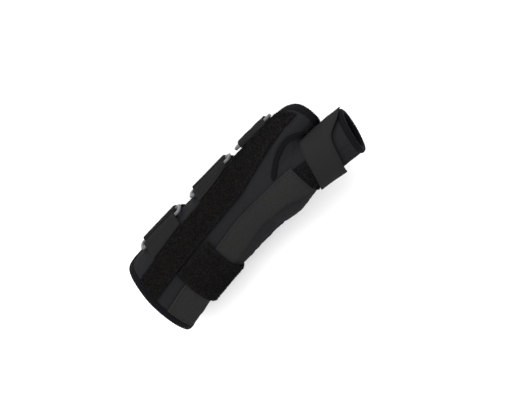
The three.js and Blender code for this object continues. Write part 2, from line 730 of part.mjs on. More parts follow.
// Ring tab: a doubled tape sewn to the panel beside the loop band, looped round the ring's near bar
function ringTab(strap) {
  const { start, width } = strapSpan(strap);
  const half = TAB_THICKNESS / 2;
  const wrapRadius = RING_WIRE / 2 + CLEARANCE + half;
  const inset = 1;
  const pathAt = (v) => {
    const x = start + inset + (width - 2 * inset) * v;
    const bar = ringBarPoint(strap, strap.ring, x);
    const down = onSleeve(x, strap.ring, 0).sub(bar).setX(0).normalize();
    const forward = new THREE.Vector3(0, -down.z, down.y);
    const toStrap = onSleeve(x, ringStrapTurn(strap), 0).sub(onSleeve(x, strap.ring, 0));
    if (forward.dot(toStrap) < 0) forward.negate();
    const bandEdge = 360 + columnAt(LOOP_BAND_ROWS, "along", "back", x / SLEEVE_LENGTH) - TAB_FROM_BAND_TURN;
    const flatTo = strap.ring + TAB_TO_BAR_TURN;
    const lower = [];
    const upper = [];
    const steps = 3;
    for (let i = 0; i <= steps; i += 1) {
      const share = i / steps;
      const turn = mix(bandEdge, flatTo, share);
      const lowLift = mix(CLEARANCE + half, RING_LIFT - wrapRadius, share);
      const highLift = mix(2 * CLEARANCE + TAB_THICKNESS + half, RING_LIFT + wrapRadius - 1, share * share);
      lower.push(onSleeve(x, turn, lowLift));
      upper.push(onSleeve(x, turn, highLift));
    }
    return [...lower, ...wrapPoints(bar, down, forward, wrapRadius, 6), ...upper.reverse()];
  };
  return ribbon(pathAt, TAB_THICKNESS, 3);
}

// Finishes: dark laminate, loop pile, woven webbing, smooth elastic, binding tape and light plastic
const FINISHES = {
  laminate: { color: 0x25272d, roughness: 0.8 },
  pile: { color: 0x1c1b1b, roughness: 0.98 },
  webbing: { color: 0x302f2e, roughness: 0.9 },
  elastic: { color: 0x35363a, roughness: 0.75 },
  binding: { color: 0x17181c, roughness: 0.7 },
  plastic: { color: 0xb9bcbf, roughness: 0.4 },
};

const splint = new THREE.Group();

function addPiece(name, geometry, finish) {
  const material = new THREE.MeshStandardMaterial({ ...FINISHES[finish], metalness: 0 });
  const mesh = new THREE.Mesh(geometry, material);
  mesh.name = name;
  splint.add(mesh);
}

addPiece("body_shell", bodyShell(), "laminate");
addPiece("thumb_sleeve", thumbSleeve(), "laminate");
addPiece("edge_binding", edgeBinding(), "binding");
addPiece("thumb_rim_binding", thumbRimBinding(), "binding");
addPiece("thumb_piping_back", creasePiping(BACK_PIPING), "binding");
addPiece("thumb_piping_palm", creasePiping(PALM_PIPING), "binding");
addPiece("loop_band", loopBand(), "pile");
addPiece("stay_webbing", stayWebbing(), "webbing");
addPiece("thumb_loop_patch", thumbLoopPatch(), "pile");
addPiece("thumb_strap", thumbStrap(), "elastic");
for (const strap of STRAPS) {
  addPiece(`closure_strap_${strap.name}`, closureStrap(strap), strap.slant > 0 ? "pile" : "webbing");
  addPiece(`ring_tab_${strap.name}`, ringTab(strap), "webbing");
  addPiece(`ring_${strap.name}`, ring(strap), "plastic");
}

// The frame's origin is under the middle of the whole box
const box = new THREE.Box3().setFromObject(splint);
splint.position.set(-(box.min.x + box.max.x) / 2, -(box.min.y + box.max.y) / 2, -box.min.z);

export default splint;
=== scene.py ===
"""Dresses the thumb spica splint's frame: cloth panels, bands, straps, rings, stitching and the stage."""

import json
import math

import bpy
import numpy as np
from mathutils import Matrix, Vector

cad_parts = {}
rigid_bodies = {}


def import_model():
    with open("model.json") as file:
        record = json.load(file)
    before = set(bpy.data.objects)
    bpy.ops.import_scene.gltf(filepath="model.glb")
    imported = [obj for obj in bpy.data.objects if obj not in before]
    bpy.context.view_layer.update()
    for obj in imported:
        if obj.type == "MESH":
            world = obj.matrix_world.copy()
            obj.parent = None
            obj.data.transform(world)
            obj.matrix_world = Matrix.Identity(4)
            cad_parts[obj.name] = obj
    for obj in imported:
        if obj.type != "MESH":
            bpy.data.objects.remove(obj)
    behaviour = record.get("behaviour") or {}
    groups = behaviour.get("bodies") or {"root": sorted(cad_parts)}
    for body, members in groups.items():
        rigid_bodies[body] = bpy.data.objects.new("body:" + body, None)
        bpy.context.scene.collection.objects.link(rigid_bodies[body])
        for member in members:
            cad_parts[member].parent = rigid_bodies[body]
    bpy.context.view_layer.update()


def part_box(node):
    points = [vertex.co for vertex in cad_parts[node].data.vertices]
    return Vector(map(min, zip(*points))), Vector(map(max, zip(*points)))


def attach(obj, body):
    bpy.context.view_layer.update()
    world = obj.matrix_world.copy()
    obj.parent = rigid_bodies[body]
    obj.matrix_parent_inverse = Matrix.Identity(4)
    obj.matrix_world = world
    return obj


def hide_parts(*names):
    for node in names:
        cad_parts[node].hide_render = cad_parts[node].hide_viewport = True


bl_info = {
    "name": "Thumb spica splint",
    "version": (1, 0, 0),
    "blender": (4, 5, 0),
    "location": "3D View > Sidebar > Splint",
    "description": "Makes the padded panels, bands, closure straps and stitching of a thumb spica splint",
    "category": "Add Mesh",
}

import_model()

# Sizes that the frame was built from, in millimetres, and turns in degrees round the sleeve:
# 0 is the thumb side, 90 the palm side, 180 the underside and 270 the back
SLEEVE_LENGTH = 212.0
FOREARM_DEPTH = 67.0
FOREARM_HEIGHT = 75.0
PANEL_WALL = 3.0
RESTING_FLAT = 3.0
RESTING_SOFTNESS = 1.5
SECTION_POWER = 2.15
CLEARANCE = 0.5
SLIT_NEAR_TURN = -80.0
SLIT_FAR_TURN = 244.0
SCALLOP_TURN = 3.0
FOREARM_CORNER = 15.0
PALM_CORNER = 6.0
THUMB_START = 106.0
THUMB_END = 213.0
THUMB_RADIUS = 23.0
MEAN_THUMB_RADIUS = 21.5
THUMB_WALL = 2.6
RIM_SLANT = 5.0
RIM_SLANT_TURN = 90.0
LOOP_BAND_THICKNESS = 1.8
WEBBING_THICKNESS = 1.4
PATCH_THICKNESS = 1.1
PATCH_MARGIN_BACK = 13.0
PATCH_MARGIN_PALM = 2.0
PATCH_TUCK = 14.0
PATCH_BACK_TURN = -8.0
PATCH_PALM_TURN = 76.0
STRAP_WIDTH = 38.0
STRAP_THICKNESS = 1.5
TAB_THICKNESS = 1.2
RING_WIRE = 2.8
RING_MARGIN = 2.4
RING_SPREAD_TURN = 17.0
STRAP_FOLD_LENGTH = 12.0
THUMB_STRAP_WIDTH = 27.0
THUMB_STRAP_THICKNESS = 1.6
THUMB_STRAP_FREE_TURN = 82.0
THUMB_STRAP_SEWN_TURN = -78.0
PANEL_UNDERSIDE = STRAP_THICKNESS + CLEARANCE
RING_LIFT = 2 * CLEARANCE + STRAP_THICKNESS + RING_WIRE / 2
MEAN_RADIUS = (FOREARM_DEPTH + FOREARM_HEIGHT) / 4
HEM_MARGIN = 3.0
HEM_TUCK = 1.5
MM = 0.001

# Sleeve sections: place along the sleeve, centre towards the palm, depth and height as shares
SLEEVE_ROWS = {
    "along": (0.0, 0.13, 0.31, 0.45, 0.57, 0.67, 0.78, 0.89, 1.0),
    "lean": (0.082, 0.06, 0.051, 0.068, 0.074, 0.02, -0.056, -0.107, -0.107),
    "depth": (1.11, 1.052, 1.004, 0.992, 0.982, 0.828, 0.631, 0.515, 0.455),
    "height": (0.99, 0.98, 0.97, 0.95, 0.97, 1.01, 1.06, 1.09, 1.09),
}
THUMB_ROWS = {
    "along": (0.0, 0.07, 0.15, 0.28, 0.42, 0.57, 0.8, 1.0, 1.16),
    "lean": (0.18, 0.195, 0.222, 0.25, 0.257, 0.275, 0.345, 0.405, 0.43),
    "rise": (0.6, 0.62, 0.65, 0.69, 0.72, 0.77, 0.85, 0.91, 0.94),
    "radius": (0.35, 0.74, 0.985, 1.08, 1.02, 0.92, 0.84, 0.78, 0.75),
}
FOREARM_HEM_ROWS = {
    "turn": (-90, -30, 0, 30, 60, 90, 130, 180, 250),
    "start": (0.026, 0.024, 0.017, 0.012, 0.002, -0.014, -0.014, 0.0, 0.019),
}
PALM_HEM_ROWS = {
    "turn": (-90, -62, -29, -5, 16, 40, 70, 100, 140, 180, 220, 270),
    "reach": (0.84, 0.845, 0.9, 0.948, 0.948, 0.91, 0.83, 0.8, 0.85, 0.86, 0.85, 0.84),
}
LOOP_BAND_ROWS = {
    "along": (0.03, 0.16, 0.34, 0.5, 0.66, 0.76, 0.85, 0.97),
    "back": (-31, -34, -41, -48, -60, -54, -46, -24),
    "palm": (2, 0, -4, -9, -11, -9, -7, -6),
}
WEBBING_ROWS = {
    "along": (0.03, 0.16, 0.33, 0.46, 0.55, 0.64, 0.72, 0.8),
    "back": (20, 16, 14, 8, 7, 11, 17, 24),
    "palm": (68, 64, 51, 41, 34, 34, 46, 57),
}
THUMB_STRAP_ROWS = {
    "turn": (-78, -50, -20, 20, 60, 90),
    "along": (0.745, 0.717, 0.68, 0.628, 0.566, 0.534),
    "width": (1.4, 1.3, 0.97, 0.92, 0.94, 0.95),
}
STRAPS = {
    "1": {"along": 0.127, "width": 1.0, "start": 0.0, "fold_to": 219.0, "slant": 7.0, "ring": 301.0},
    "2": {"along": 0.408, "width": 1.0, "start": 112.0, "fold_to": 221.0, "slant": 0.0, "ring": 297.0},
    "3": {"along": 0.662, "width": 0.8, "start": 128.0, "fold_to": 223.0, "slant": 0.0, "ring": 290.0},
}

# The soft fill of the seam between sleeve and thumb, which fades out at the palm hem
SEAM_SOFTNESS = 9.0
SEAM_FADE_START = 192.0
SEAM_FADE_LENGTH = 14.0

# Straps and tabs: their turns, how they cross other pieces, and how many points their paths have
THUMB_STRAP_SEAM_TURN = 5.0
THUMB_STRAP_CORNER = 5.0
THUMB_STRAP_CURL = 1.4
THUMB_STRAP_FREE_SHARE = 0.2
WEBBING_PASSED_TURN = 96.0
WEBBING_PASS_TURN = 20.0
SLANT_TURN = 110.0
STRAP_END_TURN = 3.0
FOLD_START_TURN = 7.0
STRAP_POINTS = 150
FOLD_POINTS = 40
WRAP_STEPS = 14
TAB_POINTS = 12
TAB_INSET = 1.0
TAB_END_TURN = 5.0
TAB_SEAMS = (0.95, 0.9, 0.72)

# Bound edges and pipings
BINDING_WIDTH = 6.6
BINDING_OVERLAP = 1.8
RIM_BINDING_WIDTH = 4.8
RIM_BINDING_OVERLAP = 0.4
BINDING_HEIGHT = 4.8
SLIT_BINDING_HEIGHT = 3.6
BINDING_STEP = 1.1
RIB_PITCH = 2.2
RIB_DEPTH = 0.05
HEM_POINTS = 150
SLIT_POINTS = 130
RIM_POINTS = 130
BEAD_SIDES = 16
PIPING_SIDES = 20
PIPING_POINTS = 90
PIPING_WIDTH = 4.4
PIPING_HEIGHT = 3.2
PIPING_GROOVE = 0.8
PIPING_TAPER = 0.06
PALM_PIPING_WIDTH = 0.6 * PIPING_WIDTH
PALM_PIPING_HEIGHT = 0.75 * PIPING_HEIGHT
PALM_PIPING_FROM = 0.6
PALM_PIPING_TO = 0.77
PALM_PIPING_LIFT = 2.1
PALM_SEAM_LIFT = 1.7
BACK_PIPING_LIFT = 0.5
# The back piping's way over the cover as seen from above, in millimetres: along the sleeve and to the back
BACK_PIPING = {
    "x": (146.0, 159.4, 168.8, 177.7, 185.4, 190.0),
    "y": (-9.3, -0.4, 3.1, 4.0, 0.6, -3.0),
}

# The padding: its flat sizes, rounded edges and mesh, and how it dips, puckers and folds
PANEL_SIZE = (196.0, 214.0)
THUMB_SIZE = (THUMB_END - THUMB_START, math.tau * MEAN_THUMB_RADIUS)
PANEL_EDGE = 2.2
THUMB_EDGE = 1.3
SEAM_DIP = 1.7
BORDER_SOFTNESS = 5.0
TAB_REACH_TURN = 44.0
GATHER_PITCH = 8.5
GATHER_FADE = 4.0
# Welts beside the webbing's palm edge: how far beyond it in degrees, height and half width in millimetres
WELTS = ((19.0, 0.7, 1.2), (32.0, 1.1, 1.5))
WELT_FROM = 58.0
WELT_TO = 150.0
# Folds between the loop band and the back piping: how far from the piping, and height
ARC_FOLDS = ((5.2, 1.3), (9.5, 1.6))
ARC_FOLD_HALF = 1.4
ARC_FOLD_TURN = 80.0
FOLD_FROM = 118.0
FOLD_TO = 162.0
FOLD_HEIGHT = 0.35
FOLD_PITCH = 4.6
RIM_FOLD_TURN = 19.0
RIM_FOLD_HEIGHT = 1.2
LINING_GATHER = 1.6

# Stitches and pile
STITCH_SIDES = 6
STITCH_RINGS = 4
STITCH_PITCH = 2.7
STITCH_LENGTH = 2.0
STITCH_RADIUS = 0.24
STITCH_LIFT = 0.05
SEAM_INSET = 2.0
THUMB_STRAP_SEAM_INSET = 1.8
TUFT_ROOT = 0.15
TUFT_HEIGHTS = (0.55, 1.25)
TUFT_BENDS = (0.2, 0.9)
TUFT_THICKNESS = (0.13, 0.22)
TUFT_FACES = ((0, 1, 4, 3), (1, 2, 5, 4), (2, 0, 3, 5), (3, 4, 6), (4, 5, 6), (5, 3, 6), (2, 1, 0))
STRAP_PILE_SHARE = 0.7

# Distances between the mesh lines of each kind of flat cloth
BAND_STEP = 1.8
THUMB_STRAP_STEP = 1.5
CLOSURE_STEP = 2.0
TAB_STEP = 1.4

# Woven cloths: dark and light colour, roughness, thread pitch each way, share of light threads, relief,
# unevenness
WOVEN = {
    "laminate": ((0.0085, 0.0087, 0.0093), (0.0155, 0.016, 0.017), 0.9, (0.7, 0.7), 0.9, 0.35, 0.25),
    "lining": ((0.008, 0.008, 0.009), (0.016, 0.016, 0.018), 0.95, (0.9, 0.9), 0.9, 0.3, 0.25),
    "webbing": ((0.0105, 0.0105, 0.0103), (0.026, 0.0259, 0.0248), 0.9, (1.4, 1.4), 0.2, 0.5, 0.9),
    "tape": ((0.008, 0.008, 0.0082), (0.022, 0.022, 0.022), 0.9, (1.1, 0.9), 0.5, 0.6, 0.25),
    "elastic": ((0.01, 0.01, 0.0104), (0.0175, 0.0175, 0.018), 0.9, (0.55, 1.3), 0.9, 0.25, 0.35),
    "binding": ((0.003, 0.003, 0.0036), (0.0065, 0.0065, 0.008), 0.85, (1.0, 1.0), 0.9, 0.5, 0.25),
}
# Pile and its tufts: dark and light colour, roughness, size of the specks, relief
SPECKLED = {
    "pile": ((0.004, 0.0038, 0.0036), (0.018, 0.0172, 0.0164), 1.0, 1.1, 0.8),
    "tuft": ((0.0042, 0.004, 0.0038), (0.036, 0.0346, 0.033), 1.0, 1.3, 0.1),
}
# Plain finishes: colour, roughness, gloss
PLAIN = {
    "thread": ((0.012, 0.012, 0.0125), 0.8, 0.05),
    "ring_plastic": ((0.1, 0.1, 0.099), 0.45, 0.3),
}
WOVEN_GLOSS = 0.04
PILE_GLOSS = 0.02
WEAVE_SPECKS = 1.7
WEAVE_BRIGHTEST = 1.15
SPECK_SHARES = (0.5, 0.74)
WEAVE_DEPTH = 0.3
PILE_DEPTH = 0.4

# The stage in metres, and the camera's tilt and roll in degrees
FLOOR_SIZE = 6.0
FLOOR_COLOUR = (0.93, 0.93, 0.93)
CAMERA_TILT = 15.0
CAMERA_ROLL = 47.03
CAMERA_TARGET = (113.6, -9.3, 37.0)
CAMERA_SENSOR = 36.0
CAMERA_LENS = 86.4
# Lights: place, size and share of the key light's power
LIGHTS = {
    "key light": ((0.35, 0.5, 1.1), 0.9, 1.0),
    "fill light": ((-0.6, -0.5, 0.9), 1.1, 0.55),
    "rim light": ((0.1, 0.9, 0.35), 0.6, 0.35),
}


def mix(a, b, share):
    return a + (b - a) * share


def ease(share):
    t = np.clip(share, 0.0, 1.0)
    return t * t * (3 - 2 * t)


def unit(vectors):
    return vectors / np.maximum(np.linalg.norm(vectors, axis=-1, keepdims=True), 1e-9)


def alike(*values):
    """The values as number arrays of one shape."""
    return np.broadcast_arrays(*(np.asarray(value, float) for value in values))


def column(rows, key, name, place):
    """Smooth value of a table's column between its rows."""
    keys = np.array(rows[key], float)
    values = np.array(rows[name], float)
    last = len(keys) - 1
    order = np.arange(last + 1)
    after = np.minimum(order + 1, last)
    before = np.maximum(order - 1, 0)
    slope = (values[after] - values[before]) / (keys[after] - keys[before])
    inside = np.clip(place, keys[0], keys[-1])
    i = np.clip(np.searchsorted(keys, inside, side="left") - 1, 0, last - 1)
    span = keys[i + 1] - keys[i]
    t = (inside - keys[i]) / span
    tangents = span * (slope[i] * t * (1 - t) ** 2 - slope[i + 1] * t * t * (1 - t))
    return mix(values[i], values[i + 1], t * t * (3 - 2 * t)) + tangents


def sleeve_section(x):
    place = x / SLEEVE_LENGTH
    depth = FOREARM_DEPTH / 2 * column(SLEEVE_ROWS, "along", "depth", place)
    height = FOREARM_HEIGHT / 2 * column(SLEEVE_ROWS, "along", "height", place)
    lean = FOREARM_DEPTH * column(SLEEVE_ROWS, "along", "lean", place)
    return depth, height, lean, PANEL_UNDERSIDE + height - RESTING_FLAT


def sleeve_reach(x, turn):
    """Distance from the sleeve's centre line to its outer face, flat where it rests."""
    depth, height, _lean, rise = sleeve_section(x)
    side = np.abs(np.sin(np.radians(turn))) / depth
    up = np.cos(np.radians(turn))
    full = (side**SECTION_POWER + (np.abs(up) / height) ** SECTION_POWER) ** (-1 / SECTION_POWER)
    flat = (rise - PANEL_UNDERSIDE) / np.where(up < -1e-6, -up, 1e-6)
    gap = np.maximum(RESTING_SOFTNESS - np.abs(full - flat), 0)
    return np.where(up >= 0, full, np.minimum(full, flat) - gap * gap / (4 * RESTING_SOFTNESS))


def thumb_section(x):
    place = (x - THUMB_START) / (THUMB_END - THUMB_START)
    lean = FOREARM_DEPTH * column(THUMB_ROWS, "along", "lean", place)
    rise = PANEL_UNDERSIDE + FOREARM_HEIGHT * column(THUMB_ROWS, "along", "rise", place)
    return lean, rise, THUMB_RADIUS * column(THUMB_ROWS, "along", "radius", place)


def thumb_reach(x, turn):
    """Distance from the sleeve's centre line to the far side of the thumb sleeve."""
    _depth, _height, lean, rise = sleeve_section(x)
    thumb_lean, thumb_rise, radius = thumb_section(x)
    across = thumb_lean - lean
    up = thumb_rise - rise
    along = across * np.sin(np.radians(turn)) + up * np.cos(np.radians(turn))
    inside = along**2 - across**2 - up**2 + radius**2
    return np.where((x >= THUMB_START) & (inside > 0), along + np.sqrt(np.maximum(inside, 0)), 0.0)


def cover_reach(x, turn):
    """Outer face of sleeve and thumb together, filled softly along the seam between them."""
    sleeve = sleeve_reach(x, turn)
    thumb = thumb_reach(x, turn)
    soft = 0.5 + SEAM_SOFTNESS * (1 - ease((x - SEAM_FADE_START) / SEAM_FADE_LENGTH))
    gap = np.maximum(soft - np.abs(sleeve - thumb), 0)
    return np.maximum(sleeve, thumb) + gap * gap / (4 * soft)


def face_point(reach, x, turn, lift):
    """Points on a face given by its reach, raised by a lift square to it."""
    x, turn, lift = alike(x, turn, lift)
    _depth, _height, lean, rise = sleeve_section(x)

    def at(degrees):
        length = reach(x, degrees)
        return lean + length * np.sin(np.radians(degrees)), rise + length * np.cos(np.radians(degrees))

    before_p, before_z = at(turn - 0.5)
    after_p, after_z = at(turn + 0.5)
    p, z = at(turn)
    length = np.maximum(np.hypot(after_p - before_p, after_z - before_z), 1e-6)
    out_p = -(after_z - before_z) / length
    out_z = (after_p - before_p) / length
    return np.stack([x, -(p + out_p * lift), z + out_z * lift], axis=-1)


def on_sleeve(x, turn, lift):
    return face_point(sleeve_reach, x, turn, lift)


def on_cover(x, turn, lift):
    return face_point(cover_reach, x, turn, lift)


def on_thumb(x, turn, lift):
    """Points on the round of the thumb sleeve, by their turn round the thumb."""
    x, turn, lift = alike(x, turn, lift)
    lean, rise, radius = thumb_section(x)
    p = lean + (radius + lift) * np.sin(np.radians(turn))
    return np.stack([x, -p, rise + (radius + lift) * np.cos(np.radians(turn))], axis=-1)


def sleeve_turn(points):
    """Turn round the sleeve, and distance from its centre line, of points in space."""
    _depth, _height, lean, rise = sleeve_section(points[..., 0])
    across = -points[..., 1] - lean
    up = points[..., 2] - rise
    return np.degrees(np.arctan2(across, up)), np.hypot(across, up)


def on_thumb_cover(x, turn, lift):
    """Points on the thumb sleeve, eased out to the soft fill beside the seam."""
    points = on_thumb(x, turn, lift)
    around, reach = sleeve_turn(points)
    soft = cover_reach(points[..., 0], around) - np.maximum(
        sleeve_reach(points[..., 0], around), thumb_reach(points[..., 0], around)
    )
    _depth, _height, lean, rise = sleeve_section(points[..., 0])
    fuller = reach + soft * ease((reach - sleeve_reach(points[..., 0], around) + 3) / 3)
    p = lean + fuller * np.sin(np.radians(around))
    return np.stack([points[..., 0], -p, rise + fuller * np.cos(np.radians(around))], axis=-1)


def thumb_rim(turn):
    return THUMB_END - RIM_SLANT * np.cos(np.radians(turn - RIM_SLANT_TURN))


def forearm_hem(turn):
    return SLEEVE_LENGTH * column(FOREARM_HEM_ROWS, "turn", "start", turn)


def palm_hem(turn):
    return SLEEVE_LENGTH * column(PALM_HEM_ROWS, "turn", "reach", turn)


def seam_turn(x, side, lift):
    """Turn on the thumb where it meets the sleeve, on its back side (-1) or its palm side (+1).

    It starts on the free side of the thumb, and goes on by half degrees as long as it is clear of the sleeve.
    """
    turn = np.full(x.shape, 50.0)
    for _ in range(300):
        points = on_thumb(x, turn, lift)
        around, reach = sleeve_turn(points)
        free = (reach >= sleeve_reach(x, around) + lift) & (np.abs(turn) < 200)
        turn = np.where(free, turn + side * 0.5, turn)
    return turn


def panel_place(u, v):
    """Where a share of the panel's grid lies: u from forearm to palm, v from the near slit edge round."""
    base = mix(SLIT_NEAR_TURN, SLIT_FAR_TURN, v)
    side = np.radians(np.minimum(base - SLIT_NEAR_TURN, SLIT_FAR_TURN - base)) * MEAN_RADIUS

    def corner(radius):
        inside = np.maximum(radius - side, 0)
        return radius - np.sqrt(np.maximum(radius**2 - inside**2, 0))

    x = mix(forearm_hem(base) + corner(FOREARM_CORNER), palm_hem(base) - corner(PALM_CORNER), u)
    middles = [SLEEVE_LENGTH * s["along"] + STRAP_WIDTH * s["width"] / 2 for s in STRAPS.values()]
    nearest = np.min([np.abs(x - middle) for middle in middles], axis=0)
    swell = SCALLOP_TURN * np.clip((nearest - STRAP_WIDTH / 2) / (STRAP_WIDTH / 2), 0, 1)
    return x, mix(SLIT_NEAR_TURN - swell, SLIT_FAR_TURN + swell, v)


# The way from these places to the frame's: the body shell's box says where the forearm hem and the back lie,
# and both have the straps' undersides at z = 0
_edge = np.linspace(0, 1, 240)
_back_x, _back_turn = panel_place(_edge[:, None], _edge[None, :])
SHIFT = np.array([
    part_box("body_shell")[0].x / MM - _back_x.min(),
    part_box("body_shell")[1].y / MM - on_sleeve(_back_x, _back_turn, 0.0)[..., 1].max(),
    0.0,
])


def to_frame(points):
    return (np.asarray(points) + SHIFT) * MM


def noise_field(size, seed):
    """A smooth random relief from a fixed sum of waves, about -1 to 1, for places in millimetres."""
    rng = np.random.default_rng(seed)
    waves = 7
    angle = rng.uniform(0, math.tau, waves)
    wavelength = size * rng.uniform(0.4, 1.6, waves)
    phase = rng.uniform(0, math.tau, waves)
    strength = rng.uniform(0.4, 1.0, waves)
    strength /= strength.sum()

    def field(a, b):
        total = 0.0
        for k in range(waves):
            along = a * math.cos(angle[k]) + b * math.sin(angle[k])
            total = total + strength[k] * np.sin(math.tau * along / wavelength[k] + phase[k])
        return 1.8 * total

    return field


def make_object(name, vertices, faces, place, materials, indices=None):
    """A smooth mesh object in the frame, with its flat cloth place kept as an attribute in metres."""
    mesh = bpy.data.meshes.new(name)
    mesh.from_pydata(to_frame(vertices).tolist(), [], faces)
    for material in materials:
        mesh.materials.append(material)
    if indices is not None:
        mesh.polygons.foreach_set("material_index", np.asarray(indices, np.int32))
    attribute = mesh.attributes.new("place", "FLOAT_VECTOR", "POINT")
    attribute.data.foreach_set("vector", (np.asarray(place, float) * MM).astype(np.float32).ravel())
    mesh.polygons.foreach_set("use_smooth", np.ones(len(mesh.polygons), bool))
    mesh.validate()
    mesh.update()
    piece = bpy.data.objects.new(name, mesh)
    bpy.context.scene.collection.objects.link(piece)
    return piece


def dress(piece, slot_name, *nodes):
    """Fixes a piece to the splint's body and puts it in the place of CAD nodes, which it hides; slot_name is
    not used.
    """
    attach(piece, "root")
    if nodes:
        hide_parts(*nodes)
    return piece


def way_along(points):
    """Distance of each point from the first, along the line through them."""
    steps = np.linalg.norm(np.diff(points, axis=0), axis=1)
    return np.concatenate([[0.0], np.cumsum(steps)])


def edge_steps(length, step, edge):
    """Shares along a length, closer together in the rounded edge at both ends."""
    rounded = np.array([0.0, 0.08, 0.3, 0.65]) * edge / length
    count = max(int(round((length - 2 * edge) / step)), 1)
    middle = np.linspace(edge / length, 1 - edge / length, count + 1)
    return np.concatenate([rounded, middle, (1 - rounded)[::-1]])


def faces_out(face):
    """Whether a face's ways along u and v turn round its outward way as a mesh face's corners do."""
    u, v, step = np.array(0.503), np.array(0.497), 0.01
    origin = face(u, v, np.array(0.0))
    along_u = face(u + step, v, np.array(0.0)) - origin
    along_v = face(u, v + step, np.array(0.0)) - origin
    outward = face(u, v, np.array(1.0)) - origin
    return np.dot(np.cross(along_u, along_v), outward) >= 0


def cloth_slab(
    name, face, spans, low, thickness, step, cloths,
    relief=None, inner=None, keep=None, edge=None, closed=False,
):
    """A padded sheet on a face: a grid of u and v shares with rounded edges, or closed round v.

    face(u, v, lift) gives points; relief(u, v) raises both sides and inner(u, v) the inner side alone;
    keep(u, v) tells which cells stay, and walls close the sheet where cells are left out.
    """
    edge = thickness / 2 if edge is None else edge
    u = edge_steps(spans[0], step, edge)
    around = round(spans[1] / step)
    v = np.arange(around) / around if closed else edge_steps(spans[1], step, edge)
    grid_u, grid_v = np.meshgrid(u, v, indexing="ij")
    near = np.minimum(grid_u, 1 - grid_u) * spans[0]
    if not closed:
        near = np.minimum(near, np.minimum(grid_v, 1 - grid_v) * spans[1])
    half = thickness / 2 * np.sqrt(np.maximum(1 - (1 - np.clip(near / edge, 0, 1)) ** 2, 0))
    raised = relief(grid_u, grid_v) if relief is not None else 0.0
    folds = inner(grid_u, grid_v) if inner is not None else 0.0
    middle = low + thickness / 2
    upper = face(grid_u, grid_v, middle + half + raised)
    lower = face(grid_u, grid_v, middle - half + raised + folds * half)
    count = grid_u.size
    at = np.arange(count).reshape(grid_u.shape)
    rim = np.zeros_like(at, bool)
    rim[[0, -1], :] = True
    if not closed:
        rim[:, [0, -1]] = True
    below = np.where(rim, at, at + count)
    if closed:
        at = np.concatenate([at, at[:, :1]], axis=1)
        below = np.concatenate([below, below[:, :1]], axis=1)
        v = np.append(v, 1.0)
    cells = (at.shape[0] - 1, at.shape[1] - 1)
    kept = np.ones(cells, bool)
    if keep is not None:
        kept = keep(*np.meshgrid((u[:-1] + u[1:]) / 2, (v[:-1] + v[1:]) / 2, indexing="ij"))
    faces = []
    sides = []
    for i, j in zip(*np.nonzero(kept)):
        corners = ((i, j), (i + 1, j), (i + 1, j + 1), (i, j + 1))
        faces.append([at[c] for c in corners])
        faces.append([below[c] for c in reversed(corners)])
        sides += [0, len(cloths) - 1]
        for k, (a, b) in enumerate(((i, j - 1), (i + 1, j), (i, j + 1), (i - 1, j))):
            b = b % cells[1] if closed else b
            if 0 <= a < cells[0] and 0 <= b < cells[1] and not kept[a, b]:
                first, second = corners[k], corners[(k + 1) % 4]
                faces.append([at[second], at[first], below[first], below[second]])
                sides.append(0)
    if not faces_out(face):
        faces = [corners[::-1] for corners in faces]
    points = np.concatenate([upper.reshape(-1, 3), lower.reshape(-1, 3)])
    flat = np.stack([grid_u * spans[0], grid_v * spans[1], np.zeros_like(grid_u)], axis=-1).reshape(-1, 3)
    used = np.unique(np.concatenate(faces))
    renumber = np.zeros(2 * count, int)
    renumber[used] = np.arange(len(used))
    faces = [[int(renumber[n]) for n in corners] for corners in faces]
    return make_object(name, points[used], faces, np.concatenate([flat, flat])[used], cloths, sides)


def bead(name, centres, outs, widths, heights, material, sides, closed, squareness, groove=0.0):
    """A solid bead along a path: an oval section, squarer below a squareness of 1, with a groove on top."""
    centres = np.asarray(centres, float)
    count = len(centres)
    if closed:
        tangents = np.roll(centres, -1, axis=0) - np.roll(centres, 1, axis=0)
    else:
        tangents = np.gradient(centres, axis=0)
    tangents = unit(tangents)
    beside = unit(np.cross(tangents, outs))
    outs = unit(np.cross(beside, tangents))
    angle = math.tau * (np.arange(sides) + 0.5) / sides
    across = np.sign(np.cos(angle)) * np.abs(np.cos(angle)) ** squareness
    up = np.sign(np.sin(angle)) * np.abs(np.sin(angle)) ** squareness
    up = up * (1 - groove * np.exp(-((across / 0.3) ** 2)))
    widths = np.broadcast_to(np.asarray(widths, float), (count,))[:, None, None]
    heights = np.broadcast_to(np.asarray(heights, float), (count,))[:, None, None]
    rings = centres[:, None] + beside[:, None] * (across[:, None] * widths / 2)
    rings = rings + outs[:, None] * (up[:, None] * heights / 2)
    place = np.zeros((count, sides, 3))
    place[..., 0] = way_along(centres)[:, None]
    place[..., 1] = np.arange(sides) * float(widths.mean()) * math.pi / sides
    faces = []
    for i in range(count if closed else count - 1):
        n = (i + 1) % count
        for j in range(sides):
            k = (j + 1) % sides
            faces.append([i * sides + j, i * sides + k, n * sides + k, n * sides + j])
    if not closed:
        faces.append(list(reversed(range(sides))))
        faces.append([(count - 1) * sides + j for j in range(sides)])
    return make_object(name, rings.reshape(-1, 3), faces, place.reshape(-1, 3), [material])


def resample(path, pitch=None, count=None):
    """Evenly spaced points along a line, about a pitch apart or of a given count."""
    along = way_along(path[:, :3])
    count = count or max(int(round(along[-1] / pitch)), 2) + 1
    wanted = np.linspace(0, along[-1], count)
    return np.stack([np.interp(wanted, along, path[:, k]) for k in range(path.shape[1])], axis=-1)


